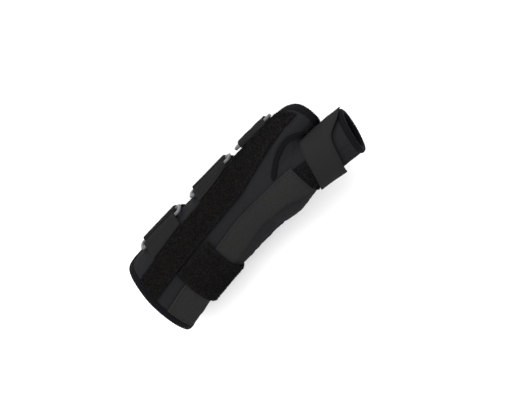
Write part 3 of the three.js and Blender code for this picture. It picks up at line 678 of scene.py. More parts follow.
def ribbon_face(path_at, across=8, count=300):
    """A face along a ribbon whose path changes across its width; u runs along the path."""
    paths = np.stack([resample(path_at(v), count=count) for v in np.linspace(0, 1, across + 1)])
    for _ in range(3):
        paths[:, 1:-1] = paths[:, 1:-1] * 0.5 + (paths[:, :-2] + paths[:, 2:]) * 0.25
    tangents = np.gradient(paths, axis=1)
    outs = unit(np.stack([np.zeros(paths.shape[:2]), tangents[..., 2], -tangents[..., 1]], axis=-1))

    def face(u, v, lift):
        u, v, lift = alike(u, v, lift)
        a = np.clip(u, 0, 1) * (count - 1)
        b = np.clip(v, 0, 1) * across
        i = np.minimum(a.astype(int), count - 2)
        j = np.minimum(b.astype(int), across - 1)
        s = (a - i)[..., None]
        t = (b - j)[..., None]

        def at(grid):
            return mix(mix(grid[j, i], grid[j, i + 1], s), mix(grid[j + 1, i], grid[j + 1, i + 1], s), t)

        return at(paths) + unit(at(outs)) * lift[..., None]

    return face


def face_size(face):
    """Mean width (along v) and length (along u) of a face, in metres, as its cloth was cut."""
    u, v = np.meshgrid(np.linspace(0, 1, 121), np.linspace(0, 1, 61), indexing="ij")
    points = face(u, v, np.zeros(u.shape))
    length = np.linalg.norm(np.diff(points, axis=0), axis=-1).sum(axis=0).mean()
    width = np.linalg.norm(np.diff(points, axis=1), axis=-1).sum(axis=1).mean()
    return float(width) * MM, float(length) * MM


def stitch_shape():
    """One stitch as a grain of half length and radius 1: its points and faces."""
    points = [(-1.0, 0.0, 0.0)]
    for angle in math.pi * np.arange(1, STITCH_RINGS) / STITCH_RINGS:
        for around in math.tau * np.arange(STITCH_SIDES) / STITCH_SIDES:
            radius = math.sin(angle)
            points.append((-math.cos(angle), radius * math.cos(around), radius * math.sin(around)))
    last = len(points)
    pattern = []
    for j in range(STITCH_SIDES):
        k = (j + 1) % STITCH_SIDES
        pattern.append([0, 1 + k, 1 + j])
        for ring in range(STITCH_RINGS - 2):
            a, b = 1 + ring * STITCH_SIDES, 1 + (ring + 1) * STITCH_SIDES
            pattern.append([a + j, a + k, b + k, b + j])
        end = 1 + (STITCH_RINGS - 2) * STITCH_SIDES
        pattern.append([end + j, end + k, last])
    return np.array(points + [(1.0, 0.0, 0.0)]), pattern


def stitches(name, lines, material):
    """Rows of separate thread stitches; each line holds points with their outward ways, six columns."""
    template, pattern = stitch_shape()
    points = []
    for line in lines:
        even = resample(line, STITCH_PITCH)
        centres = (even[:-1, :3] + even[1:, :3]) / 2
        outs = unit(even[:-1, 3:] + even[1:, 3:])
        tangents = unit(even[1:, :3] - even[:-1, :3])
        beside = unit(np.cross(tangents, outs))
        shape = (
            tangents[:, None] * template[None, :, :1] * STITCH_LENGTH / 2
            + beside[:, None] * template[None, :, 1:2] * STITCH_RADIUS
            + outs[:, None] * template[None, :, 2:] * STITCH_RADIUS
        )
        points.append(centres[:, None] + shape)
    points = np.concatenate(points)
    size = len(template)
    faces = [[n + k * size for n in face] for k in range(len(points)) for face in pattern]
    flat = points.reshape(-1, 3)
    return make_object(name, flat, faces, flat, [material])


def stitch_line(face, u, v, lift):
    """Points and outward ways along a line of u and v shares, for a row of stitches."""
    u, v = alike(u, v)
    points = face(u, v, np.full(u.shape, lift))
    return np.concatenate([points, unit(face(u, v, np.full(u.shape, lift + 1.0)) - points)], axis=-1)


def pile(name, face, lift, count, height, seed, material):
    """Short bent tufts all over a face, joined into one mesh."""
    rng = np.random.default_rng(seed)
    u = rng.uniform(0.004, 0.996, count)
    v = rng.uniform(0.012, 0.988, count)
    base = face(u, v, np.full(count, lift))
    out = unit(face(u, v, np.full(count, lift + 1.0)) - base)
    side = unit(np.cross(out, rng.normal(size=(count, 3))))
    other = np.cross(out, side)
    tall = (height * rng.uniform(*TUFT_HEIGHTS, count))[:, None]
    bend = rng.uniform(*TUFT_BENDS, count)[:, None]
    thick = rng.uniform(*TUFT_THICKNESS, count)[:, None]
    points = np.zeros((count, 7, 3))
    for k in range(3):
        around = side * math.cos(math.tau * k / 3) + other * math.sin(math.tau * k / 3)
        points[:, k] = base + around * thick
        points[:, 3 + k] = base + around * thick * 0.75 + (out * 0.62 + side * bend * 0.3) * tall
    points[:, 6] = base + (out * 0.85 + side * bend) * tall
    # Tufts under the straps are pressed flat on the floor
    points[..., 2] = np.maximum(points[..., 2], 0.0)
    faces = [[n + 7 * k for n in corners] for k in range(count) for corners in TUFT_FACES]
    flat = points.reshape(-1, 3)
    return make_object(name, flat, faces, flat, [material])


def linked(tree, kind, *sources, **settings):
    """A node whose first inputs are links or plain values."""
    node = tree.nodes.new(kind)
    for key, value in settings.items():
        setattr(node, key, value)
    for socket, source in zip(node.inputs, sources):
        if isinstance(source, bpy.types.NodeSocket):
            tree.links.new(source, socket)
        elif source is not None:
            socket.default_value = source
    return node


def plain_material(name, colour, roughness, gloss):
    """A smooth finish of one colour."""
    material = bpy.data.materials.new(name)
    material.use_nodes = True
    shader = material.node_tree.nodes["Principled BSDF"]
    shader.inputs["Base Color"].default_value = (*colour, 1.0)
    shader.inputs["Roughness"].default_value = roughness
    shader.inputs["Specular IOR Level"].default_value = gloss
    return material


def speck_noise(tree, place, size, detail):
    """Random noise over the cloth's flat place, with specks of a size in millimetres."""
    noise = linked(tree, "ShaderNodeTexNoise", place.outputs["Vector"])
    noise.inputs["Scale"].default_value = 1.0 / (size * MM)
    noise.inputs["Detail"].default_value = detail
    return noise


def shade_cloth(tree, share, dark, light, height, relief_strength, depth):
    """Colours a cloth between dark and light by a share, and gives it relief from a height."""
    shader = tree.nodes["Principled BSDF"]
    blended = linked(tree, "ShaderNodeMix", share.outputs[0], data_type="RGBA")
    # Inputs 6 and 7 are the two colours
    blended.inputs[6].default_value = (*dark, 1.0)
    blended.inputs[7].default_value = (*light, 1.0)
    tree.links.new(blended.outputs[2], shader.inputs["Base Color"])
    relief = linked(tree, "ShaderNodeBump")
    relief.inputs["Strength"].default_value = relief_strength
    relief.inputs["Distance"].default_value = depth * MM
    tree.links.new(height.outputs[0], relief.inputs["Height"])
    tree.links.new(relief.outputs["Normal"], shader.inputs["Normal"])


def woven_material(name, dark, light, roughness, pitch, level, relief, unevenness):
    """Cloth with a grid of lighter threads at a pitch of two lengths in millimetres; level is their share."""
    material = plain_material(name, dark, roughness, WOVEN_GLOSS)
    tree = material.node_tree
    place = linked(tree, "ShaderNodeAttribute", attribute_name="place", attribute_type="GEOMETRY")
    scale = (math.pi / (pitch[0] * MM), math.pi / (pitch[1] * MM), 1.0)
    scaled = linked(tree, "ShaderNodeVectorMath", place.outputs["Vector"], scale, operation="MULTIPLY")
    parts = linked(tree, "ShaderNodeSeparateXYZ", scaled.outputs["Vector"])
    warp = linked(tree, "ShaderNodeMath", parts.outputs["X"], operation="SINE")
    weft = linked(tree, "ShaderNodeMath", parts.outputs["Y"], operation="SINE")
    product = linked(tree, "ShaderNodeMath", warp.outputs[0], weft.outputs[0], operation="MULTIPLY")
    height = linked(tree, "ShaderNodeMath", product.outputs[0], operation="ABSOLUTE")
    noise = speck_noise(tree, place, WEAVE_SPECKS, 3.0)
    uneven = linked(tree, "ShaderNodeMath", noise.outputs[0], unevenness, operation="MULTIPLY")
    total = linked(tree, "ShaderNodeMath", height.outputs[0], uneven.outputs[0], operation="ADD")
    share = linked(tree, "ShaderNodeMapRange", total.outputs[0], 1 - level, WEAVE_BRIGHTEST)
    shade_cloth(tree, share, dark, light, total, relief, WEAVE_DEPTH)
    return material


def speckled_material(name, dark, light, roughness, size, relief):
    """Pile with soft random specks of a size in millimetres."""
    material = plain_material(name, dark, roughness, PILE_GLOSS)
    tree = material.node_tree
    place = linked(tree, "ShaderNodeAttribute", attribute_name="place", attribute_type="GEOMETRY")
    noise = speck_noise(tree, place, size, 2.0)
    share = linked(tree, "ShaderNodeMapRange", noise.outputs[0], *SPECK_SHARES)
    shade_cloth(tree, share, dark, light, noise, relief, PILE_DEPTH)
    return material


MATERIALS = {}


def materials():
    """The splint's materials, made once, in the colours that the sidebar holds or else their tables'."""
    if not MATERIALS:
        chosen = bpy.context.scene.splint_colours
        for name, (dark, light, *rest) in WOVEN.items():
            MATERIALS[name] = woven_material(name, dark, getattr(chosen, name, light), *rest)
        for name, row in SPECKLED.items():
            MATERIALS[name] = speckled_material(name, *row)
        for name, (colour, *rest) in PLAIN.items():
            MATERIALS[name] = plain_material(name, getattr(chosen, name, colour), *rest)
    return MATERIALS


def laid_band(face, rows, end_at):
    """The place function of a band laid on a face, from the forearm hem on, between two edges of a table."""
    first, last = rows["along"][0], rows["along"][-1]

    def place(u, v, lift):
        u, v = alike(u, v)
        x = SLEEVE_LENGTH * mix(first, last, u)
        for _ in range(5):
            back = column(rows, "along", "back", x / SLEEVE_LENGTH)
            palm = column(rows, "along", "palm", x / SLEEVE_LENGTH)
            turn = mix(back, palm, v)
            x = mix(forearm_hem(turn) + HEM_TUCK, np.minimum(SLEEVE_LENGTH * last, end_at(x, turn)), u)
        return face(x, turn, lift)

    return place


loop_band_face = laid_band(on_sleeve, LOOP_BAND_ROWS, lambda _x, turn: palm_hem(turn) - HEM_MARGIN)


def strap_edge_on_thumb(turn):
    return mix(THUMB_START, THUMB_END, column(THUMB_STRAP_ROWS, "turn", "along", turn))


def patch_margin(turn):
    """How far the loop patch shows before the thumb strap, less towards the palm."""
    share = np.clip((turn - PATCH_BACK_TURN) / (PATCH_PALM_TURN - PATCH_BACK_TURN), 0, 1)
    return mix(PATCH_MARGIN_BACK, PATCH_MARGIN_PALM, share)


def webbing_end(x, turn):
    """Where the webbing ends along the sleeve, just before the loop patch on the thumb."""
    points = on_cover(x, turn, 0.0)
    lean, rise, _radius = thumb_section(x)
    around = np.degrees(np.arctan2(-points[..., 1] - lean, points[..., 2] - rise))
    return strap_edge_on_thumb(around) - patch_margin(around) - 2 * CLEARANCE


webbing_face = laid_band(on_cover, WEBBING_ROWS, webbing_end)


def patch_face(u, v, lift):
    """The loop patch on the thumb, from in front of the thumb strap to a little way under it."""
    turn = mix(PATCH_BACK_TURN, PATCH_PALM_TURN, v)
    margin = patch_margin(turn)
    return on_thumb(strap_edge_on_thumb(turn) - margin + (margin + PATCH_TUCK) * u, turn, lift)


_strap_x = np.linspace(150.0, 222.0, 60)
_strap_crease = seam_turn(_strap_x, -1, CLEARANCE * 2 + PATCH_THICKNESS + THUMB_STRAP_THICKNESS)


def thumb_strap_place(turn, u):
    return strap_edge_on_thumb(turn) + THUMB_STRAP_WIDTH * column(THUMB_STRAP_ROWS, "turn", "width", turn) * u


def thumb_strap_face(u, v, lift):
    """The elastic strap: its rim side curves in, and its free end runs out to a raised corner."""
    x = thumb_strap_place(mix(THUMB_STRAP_SEWN_TURN, THUMB_STRAP_FREE_TURN, v), u)
    sewn = np.maximum(THUMB_STRAP_SEWN_TURN, np.interp(x, _strap_x, _strap_crease) + THUMB_STRAP_SEAM_TURN)
    turn = mix(sewn, THUMB_STRAP_FREE_TURN, v)
    free = ease((v - 1 + THUMB_STRAP_FREE_SHARE) / THUMB_STRAP_FREE_SHARE)
    x = thumb_strap_place(turn, u)
    return on_thumb(x, turn - THUMB_STRAP_CORNER * free * (1 - u), lift + THUMB_STRAP_CURL * free * u)


def ring_strap_turn(strap):
    """Turn of the ring's bar that the strap goes round; the tab holds the other bar."""
    return strap["ring"] - RING_SPREAD_TURN


def strap_span(strap):
    """Where a strap's edge lies along the sleeve, and its width."""
    return SLEEVE_LENGTH * strap["along"], STRAP_WIDTH * strap["width"]


def bar_point(strap, turn, x):
    """The point of a ring's bar at a place along the sleeve."""
    start, width = strap_span(strap)
    first = on_sleeve(start, turn, RING_LIFT)
    last = on_sleeve(start + width, turn, RING_LIFT)
    point = mix(first, last, (x - start) / width)
    point[0] = x
    return point


def bar_ways(bar, base, toward):
    """The way from a ring's bar down to the sleeve, and the way on round the bar."""
    down = base - bar
    down[0] = 0.0
    down = unit(down)
    forward = np.array([0.0, -down[2], down[1]])
    return down, forward if np.dot(forward, toward) > 0 else -forward


def wrap_points(bar, down, forward, radius):
    """Half a turn round a ring's bar, from its underside to its top."""
    angle = np.pi * np.linspace(0, 1, WRAP_STEPS + 1)[:, None]
    return bar + down * radius * np.cos(angle) + forward * radius * np.sin(angle)


def closure_path(strap):
    """A closure strap's path at a share of its width: round the underside, the ring's bar and back."""
    start, width = strap_span(strap)
    half = STRAP_THICKNESS / 2
    radius = RING_WIRE / 2 + CLEARANCE + half
    last_turn = ring_strap_turn(strap) - STRAP_END_TURN

    def path_at(v):
        x = start + width * v
        bar = bar_point(strap, ring_strap_turn(strap), x)
        base = on_sleeve(x, ring_strap_turn(strap), 0.0)
        down, forward = bar_ways(bar, base, on_sleeve(x, strap["ring"], 0.0) - base)
        turn = np.linspace(strap["start"], last_turn, STRAP_POINTS)
        over = np.clip((WEBBING_PASSED_TURN - turn) / WEBBING_PASS_TURN, 0, 1)
        on_webbing = (CLEARANCE + WEBBING_THICKNESS) * over
        slant = strap["slant"] * np.clip((SLANT_TURN - turn) / SLANT_TURN, 0, 1)
        first = on_sleeve(x + slant, turn, CLEARANCE + half + on_webbing)
        turn = np.linspace(ring_strap_turn(strap) - FOLD_START_TURN, strap["fold_to"], FOLD_POINTS)
        away = np.radians(ring_strap_turn(strap) - turn) * MEAN_RADIUS
        opened = ease(1 - away / STRAP_FOLD_LENGTH)
        back = on_sleeve(x, turn, mix(2 * CLEARANCE + STRAP_THICKNESS + half, RING_LIFT + radius, opened))
        return np.concatenate([first, wrap_points(bar, down, forward, radius), back])

    return path_at


def tab_path(strap):
    """A ring tab's path at a share of its width: flat to the ring's near bar, round it and back."""
    start, width = strap_span(strap)
    half = TAB_THICKNESS / 2
    radius = RING_WIRE / 2 + CLEARANCE + half

    def path_at(v):
        x = start + TAB_INSET + (width - 2 * TAB_INSET) * v
        bar = bar_point(strap, strap["ring"], x)
        base = on_sleeve(x, strap["ring"], 0.0)
        down, forward = bar_ways(bar, base, on_sleeve(x, ring_strap_turn(strap), 0.0) - base)
        share = np.linspace(0, 1, TAB_POINTS)
        band_edge = 360 + float(column(LOOP_BAND_ROWS, "along", "back", np.array(x / SLEEVE_LENGTH))) - 1
        turn = mix(band_edge, strap["ring"] + TAB_END_TURN, share)
        low = mix(CLEARANCE + half, RING_LIFT - radius, share)
        high = mix(2 * CLEARANCE + TAB_THICKNESS + half, RING_LIFT + radius - 1, share * share)
        lower = on_sleeve(x, turn, low)
        upper = on_sleeve(x, turn, high)[::-1]
        return np.concatenate([lower, wrap_points(bar, down, forward, radius), upper])

    return path_at


def border():
    """Points round the panel's border: their places as shares, how far they're on a hem, and its face."""
    hem = np.linspace(0, 1, HEM_POINTS, endpoint=False)
    slit = np.linspace(0, 1, SLIT_POINTS, endpoint=False)
    u = np.concatenate([np.zeros(HEM_POINTS), slit, np.ones(HEM_POINTS), 1 - slit])
    v = np.concatenate([hem, np.ones(SLIT_POINTS), 1 - hem, np.zeros(SLIT_POINTS)])
    on_hem = np.concatenate([np.ones(HEM_POINTS), np.zeros(SLIT_POINTS)] * 2)
    for _ in range(40):
        on_hem = (np.roll(on_hem, 1) + on_hem + np.roll(on_hem, -1)) / 3
    x, turn = panel_place(u, v)
    middle = on_sleeve(x, turn, -PANEL_WALL / 2)
    out = unit(on_sleeve(x, turn, 1.0) - on_sleeve(x, turn, 0.0))
    away = unit(np.cross(np.roll(middle, -1, axis=0) - np.roll(middle, 1, axis=0), out))
    for _ in range(4):
        away = unit(np.roll(away, 1, axis=0) + away * 2 + np.roll(away, -1, axis=0))
    centres = middle + away * (BINDING_WIDTH / 2 - BINDING_OVERLAP)
    closed = np.concatenate([centres, out, on_hem[:, None]], axis=1)
    even = resample(np.concatenate([closed, closed[:1]]), BINDING_STEP)[:-1]
    return even[:, :3], unit(even[:, 3:6]), even[:, 6]


def ribbed(centres):
    """Swelling of a bound edge along its path, from the tape's even ribs."""
    return 1 + RIB_DEPTH * np.sin(math.tau * way_along(centres) / RIB_PITCH)


def runs(kept):
    """The stretches of a closed row that are kept, as lists of places in it."""
    if kept.all():
        return [np.arange(len(kept))]
    start = int(np.nonzero(~kept)[0][0])
    order = np.roll(np.arange(len(kept)), -start)
    found = np.split(order, np.nonzero(np.diff(kept[order].astype(int)))[0] + 1)
    return [part for part in found if kept[part[0]] and len(part) > 3]


def join(name, parts):
    """Joins mesh objects into the first one."""
    for part in bpy.context.view_layer.objects:
        part.select_set(False)
    for part in parts:
        part.select_set(True)
    bpy.context.view_layer.objects.active = parts[0]
    bpy.ops.object.join()
    parts[0].name = name
    return parts[0]


def bare_share(x, turn):
    """1 where the sleeve is bare and 0 under a band, strap or tab, with soft borders."""
    apart = np.full(np.broadcast(x, turn).shape, SLEEVE_LENGTH)
    for rows in (LOOP_BAND_ROWS, WEBBING_ROWS):
        back = column(rows, "along", "back", x / SLEEVE_LENGTH)
        palm = column(rows, "along", "palm", x / SLEEVE_LENGTH)
        beside = np.radians(np.maximum(back - turn, turn - palm)) * MEAN_RADIUS
        beyond = np.maximum(SLEEVE_LENGTH * rows["along"][0] - x, x - SLEEVE_LENGTH * rows["along"][-1])
        apart = np.minimum(apart, np.maximum(beside, beyond))
    for strap in STRAPS.values():
        start, width = strap_span(strap)
        beyond = np.maximum(start - x, x - start - width - strap["slant"])
        under_strap = np.radians(strap["start"] - turn) * MEAN_RADIUS
        under_tab = np.radians(turn + TAB_REACH_TURN) * MEAN_RADIUS
        apart = np.minimum(apart, np.maximum(beyond, np.minimum(under_strap, under_tab)))
    return ease(apart / BORDER_SOFTNESS)


def panel_face(u, v, lift):
    return on_cover(*panel_place(u, v), lift)


def welts(x, turn):
    """Raised lines and soft folds beside the webbing, where the panel turns down to the palm."""
    edge = column(WEBBING_ROWS, "along", "palm", x / SLEEVE_LENGTH)
    beside = np.radians(turn - edge) * MEAN_RADIUS
    raised = 0.0
    for beyond, height, half in WELTS:
        raised = raised + height * np.exp(-(((beside - np.radians(beyond) * MEAN_RADIUS) / half) ** 2))
    raised = raised * ease((x - WELT_FROM) / 8) * ease((WELT_TO - x) / 12)
    from_arc = on_cover(x, turn, 0.0)[..., 1] - column(BACK_PIPING, "x", "y", x)
    for beyond, height in ARC_FOLDS:
        fold = height * np.exp(-(((from_arc - beyond) / ARC_FOLD_HALF) ** 2))
        raised = raised + fold * ease((x - BACK_PIPING["x"][1]) / 8) * (np.abs(turn) < ARC_FOLD_TURN)
    fan = np.sin(math.tau * (beside + 0.12 * (x - FOLD_FROM)) / FOLD_PITCH)
    fan = fan * ease((x - FOLD_FROM) / 12) * ease((FOLD_TO - x) / 12)
    return raised + FOLD_HEIGHT * fan * ease((beside - 2) / 3) * ease((26 - beside) / 8)


def make_body_panel(puckers, step):
    """The padded panel of the main sleeve, dipping under the thumb sleeve along the seam."""
    folds = noise_field(15.0, 11)
    creases = noise_field(6.0, 12)

    def relief(u, v):
        x, turn = panel_place(u, v)
        side = np.radians(turn) * MEAN_RADIUS
        bare = bare_share(x, turn)
        edge_near = np.minimum(np.minimum(u, 1 - u) * PANEL_SIZE[0], np.minimum(v, 1 - v) * PANEL_SIZE[1])
        gather = np.exp(-edge_near / GATHER_FADE) * np.sin(math.tau * (x * 0.8 + side) / GATHER_PITCH)
        beyond = thumb_reach(x, turn) - sleeve_reach(x, turn)
        under = SEAM_DIP * ease((beyond + 0.5) / 3)
        soft = puckers * bare * (0.8 * folds(x, side) + 0.35 * creases(x, side) + 0.45 * gather)
        return soft + welts(x, turn) - under

    def keep(u, v):
        x, turn = panel_place(u, v)
        return thumb_reach(x, turn) < sleeve_reach(x, turn) + PANEL_WALL

    return cloth_slab(
        "body-panel", panel_face, PANEL_SIZE, -PANEL_WALL, PANEL_WALL, step,
        [materials()["laminate"], materials()["lining"]], relief, keep=keep, edge=PANEL_EDGE,
    )


def thumb_face(u, v, lift):
    turn = 360.0 * v
    return on_thumb_cover(mix(THUMB_START, thumb_rim(turn), u), turn, lift)


def make_thumb_sleeve(puckers, step):
    """The thumb's padded sleeve, open at both ends, with its lining gathered behind the rim."""
    folds = noise_field(12.0, 21)
    creases = noise_field(5.0, 22)

    def relief(u, v):
        along, side, turn = u * THUMB_SIZE[0], v * THUMB_SIZE[1], v * 360
        points = thumb_face(u, v, 0.0)
        around, _reach = sleeve_turn(points)
        bare = bare_share(points[..., 0], around) * (1 - ease((u - 0.6) / 0.08))
        soft = puckers * bare * (0.7 * folds(along, side) + 0.35 * creases(along, side))
        gathered = ease((u - 0.72) / 0.08) * ease((0.995 - u) / 0.02)
        window = ease((turn - 5) / 20) * ease((125 - turn) / 20)
        valley = 0.5 + 0.5 * np.sin(math.tau * (turn - 20 * u) / RIM_FOLD_TURN)
        return soft - RIM_FOLD_HEIGHT * gathered * window * valley

    def inner(u, v):
        gathers = 0.55 + 0.3 * np.sin(math.tau * 13 * v) + 0.25 * np.sin(math.tau * 5 * v + 1.1)
        return -LINING_GATHER * gathers * ease((u - 0.8) / 0.14) * ease((1.0 - u) / 0.03)

    def keep(u, v):
        points = thumb_face(u, v, 0.0)
        around, reach = sleeve_turn(points)
        return reach > sleeve_reach(points[..., 0], around) - PANEL_WALL

    return cloth_slab(
        "thumb-sleeve", thumb_face, THUMB_SIZE, -THUMB_WALL, THUMB_WALL, step,
        [materials()["laminate"], materials()["lining"]], relief, inner, keep, THUMB_EDGE, True,
    )


def make_edge_binding():
    """Ribbed tape round the panel's hems and slit edges, in the stretches outside the thumb sleeve."""
    centres, outs, on_hem = border()
    lean, rise, radius = thumb_section(centres[:, 0])
    apart = np.hypot(-centres[:, 1] - lean, centres[:, 2] - rise)
    kept = (centres[:, 0] < THUMB_START) | (apart > radius - 0.8)
    swell = ribbed(centres)
    parts = []
    for run in runs(kept):
        height = mix(SLIT_BINDING_HEIGHT, BINDING_HEIGHT, on_hem[run]) * swell[run]
        parts.append(bead(
            "edge-binding", centres[run], outs[run], BINDING_WIDTH * swell[run], height,
            materials()["binding"], BEAD_SIDES, len(run) == len(kept), 0.8,
        ))
    return join("edge-binding", parts)


def make_rim_binding():
    """Ribbed tape round the thumb opening."""
    turn = np.linspace(0, 360, RIM_POINTS, endpoint=False)
    centres = on_thumb(thumb_rim(turn), turn, -THUMB_WALL / 2)
    outs = unit(on_thumb(thumb_rim(turn), turn, 1.0) - on_thumb(thumb_rim(turn), turn, 0.0))
    away = unit(np.cross(outs, np.roll(centres, -1, axis=0) - np.roll(centres, 1, axis=0)))
    centres = centres + away * (RIM_BINDING_WIDTH / 2 - RIM_BINDING_OVERLAP)
    closed = np.concatenate([centres, outs], axis=1)
    even = resample(np.concatenate([closed, closed[:1]]), BINDING_STEP)[:-1]
    swell = ribbed(even[:, :3])
    return bead(
        "thumb-rim-binding", even[:, :3], unit(even[:, 3:]), RIM_BINDING_WIDTH * swell,
        BINDING_HEIGHT * swell, materials()["binding"], BEAD_SIDES, True, 0.8,
    )


def turn_below(x, y):
    """Turns at which the cover lies straight below points given from above."""
    low, high = np.full(x.shape, -85.0), np.full(x.shape, 85.0)
    for _ in range(40):
        middle = (low + high) / 2
        short = -on_cover(x, middle, 0.0)[..., 1] < -y
        low, high = np.where(short, middle, low), np.where(short, high, middle)
    return (low + high) / 2


def piping_taper():
    """A piping's share of its full size along its way, a quarter at both ends."""
    ends = np.minimum(np.linspace(0, 1, PIPING_POINTS), np.linspace(1, 0, PIPING_POINTS))
    return ease(ends / PIPING_TAPER) * 0.75 + 0.25


def make_back_piping():
    """The doubled piping, with a groove between, in an arc over the seam's back side."""
    x = np.linspace(BACK_PIPING["x"][0], BACK_PIPING["x"][-1], PIPING_POINTS)
    turn = turn_below(x, column(BACK_PIPING, "x", "y", x))
    taper = piping_taper()
    outs = unit(on_cover(x, turn, 2.0) - on_cover(x, turn, 1.0))
    return bead(
        "thumb-piping-back", on_cover(x, turn, BACK_PIPING_LIFT), outs, PIPING_WIDTH * taper,
        PIPING_HEIGHT * taper, materials()["binding"], PIPING_SIDES, False, 0.9, PIPING_GROOVE,
    )


def make_palm_piping():
    """Single piping in the seam's palm side."""
    x = SLEEVE_LENGTH * np.linspace(PALM_PIPING_FROM, PALM_PIPING_TO, PIPING_POINTS)
    turn = seam_turn(x, 1, PALM_SEAM_LIFT)
    for _ in range(6):
        turn[1:-1] = turn[1:-1] * 0.5 + (turn[:-2] + turn[2:]) * 0.25
    centres = on_thumb(x, turn, PALM_PIPING_LIFT)
    around, _reach = sleeve_turn(centres)
    off_thumb = on_thumb(x, turn, 2.0) - on_thumb(x, turn, 1.0)
    outs = unit(off_thumb + on_sleeve(x, around, 2.0) - on_sleeve(x, around, 1.0))
    taper = piping_taper()
    return bead(
        "thumb-piping-palm", centres, outs, PALM_PIPING_WIDTH * taper, PALM_PIPING_HEIGHT * taper,
        materials()["binding"], PIPING_SIDES, False, 0.9,
    )


def make_band(name, face, low, thickness, step, *cloths):
    """A flat cloth piece on a face; also its flat size, and its spans along u and v in millimetres."""
    width, length = face_size(face)
    spans = (length / MM, width / MM)
    kit = [materials()[cloth] for cloth in cloths]
    return made(cloth_slab(name, face, spans, low, thickness, step, kit)), (width, length), spans


def border_lines(face, spans, inset, top, last_end=True):
    """Lines for rows of stitches inside a face's border, an inset in millimetres from it."""
    u, v = inset / spans[0], inset / spans[1]
    along_u = np.linspace(u, 1 - u, 80)
    along_v = np.linspace(v, 1 - v, 40)
    ends = (u, 1 - u) if last_end else (u,)
    lines = [stitch_line(face, place, along_v, top + STITCH_LIFT) for place in ends]
    return lines + [stitch_line(face, along_u, place, top + STITCH_LIFT) for place in (v, 1 - v)]


def sew(name, lines, slot_name):
    return dress(stitches(name, lines, materials()["thread"]), slot_name)


def made(piece):
    """Stops an operator whose piece came out empty."""
    if not piece.data.polygons:
        raise RuntimeError(f"{piece.name} has no faces")
    return piece


class SplintPaddingSettings(bpy.types.PropertyGroup):
    puckers: bpy.props.FloatProperty(
        name="Puckers", description="Depth of the soft folds in the bare laminate", default=0.0004, min=0.0,
        max=0.003, unit="LENGTH",
    )
    step: bpy.props.FloatProperty(
        name="Mesh step", description="Distance between the panel's mesh lines", default=0.0018, min=0.001,
        max=0.006, unit="LENGTH",
    )


class SplintPileSettings(bpy.types.PropertyGroup):
    height: bpy.props.FloatProperty(
        name="Pile height", description="Height of the loop pile above its cloth", default=0.0011, min=0.0,
        max=0.004, unit="LENGTH",
    )
    density: bpy.props.FloatProperty(
        name="Pile density", description="Tufts on a square millimetre", default=2.2, min=0.1, max=4.0,
    )


class SplintColourSettings(bpy.types.PropertyGroup):
    laminate: bpy.props.FloatVectorProperty(
        name="Laminate", description="Lighter colour of the padded laminate", default=WOVEN["laminate"][1],
        min=0.0, max=1.0, subtype="COLOR",
    )
    webbing: bpy.props.FloatVectorProperty(
        name="Webbing", description="Colour of the webbing's lighter threads", default=WOVEN["webbing"][1],
        min=0.0, max=1.0, subtype="COLOR",
    )
    elastic: bpy.props.FloatVectorProperty(
        name="Thumb strap", description="Lighter colour of the thumb strap", default=WOVEN["elastic"][1],
        min=0.0, max=1.0, subtype="COLOR",
    )
    ring_plastic: bpy.props.FloatVectorProperty(
        name="Rings", description="Colour of the plastic rings", default=PLAIN["ring_plastic"][0],
        min=0.0, max=1.0, subtype="COLOR",
    )


class SplintStageSettings(bpy.types.PropertyGroup):
    key_power: bpy.props.FloatProperty(
        name="Key light", description="Power of the large soft light above", default=10.0, subtype="POWER",
    )
    backdrop: bpy.props.FloatProperty(
        name="Backdrop", description="Brightness of the white surroundings", default=1.0, min=0.0, max=2.0,
    )


def plush(name, face, spans, top, seed, share=1.0):
    """Loop pile over a face, dense enough for its size."""
    settings = bpy.context.scene.splint_pile
    share = share * 1.0
    count = int(spans[0] * spans[1] * settings.density * share)
    tufts = pile(name, face, top - TUFT_ROOT, count, settings.height / MM, seed, materials()["tuft"])
    return dress(tufts, "pile")


class SPLINT_OT_padding(bpy.types.Operator):
    """Makes the padded main panel and the thumb sleeve"""

    bl_idname = "splint.padding"
    bl_label = "Make padding"

    def execute(self, context):
        settings = context.scene.splint_padding
        puckers, step = settings.puckers / MM, settings.step / MM
        panel = dress(made(make_body_panel(puckers, step)), "laminate", "body_shell")
        thumb = dress(made(make_thumb_sleeve(puckers, step)), "laminate", "thumb_sleeve")
        return {"FINISHED"}


class SPLINT_OT_bindings(bpy.types.Operator):
    """Makes the bound edges and the piping in the thumb seam"""

    bl_idname = "splint.bindings"
    bl_label = "Make bindings"

    def execute(self, context):
        dress(made(make_edge_binding()), "binding", "edge_binding")
        dress(made(make_rim_binding()), "binding", "thumb_rim_binding")
        dress(made(make_back_piping()), "binding", "thumb_piping_back")
        dress(made(make_palm_piping()), "binding", "thumb_piping_palm")
        return {"FINISHED"}


class SPLINT_OT_bands(bpy.types.Operator):
    """Makes the loop band, the webbing strip and the loop patch on the thumb"""

    bl_idname = "splint.bands"
    bl_label = "Make bands"

    def execute(self, context):
        specs = (
            ("loop-band", loop_band_face, CLEARANCE, LOOP_BAND_THICKNESS, "pile", "loop_band"),
            ("stay-webbing", webbing_face, CLEARANCE, WEBBING_THICKNESS, "webbing", "stay_webbing"),
            ("thumb-loop-patch", patch_face, CLEARANCE, PATCH_THICKNESS, "pile", "thumb_loop_patch"),
        )
        for seed, (name, face, low, thickness, kind, node) in enumerate(specs):
            piece, size, spans = make_band(name, face, low, thickness, BAND_STEP, kind)
            dress(piece, kind, node)
            top = low + thickness
            extra = [sew(f"{name}-stitches", border_lines(face, spans, SEAM_INSET, top), kind)]
            if kind == "pile":
                extra.append(plush(f"{name}-pile", face, spans, top, 31 + seed))
        return {"FINISHED"}


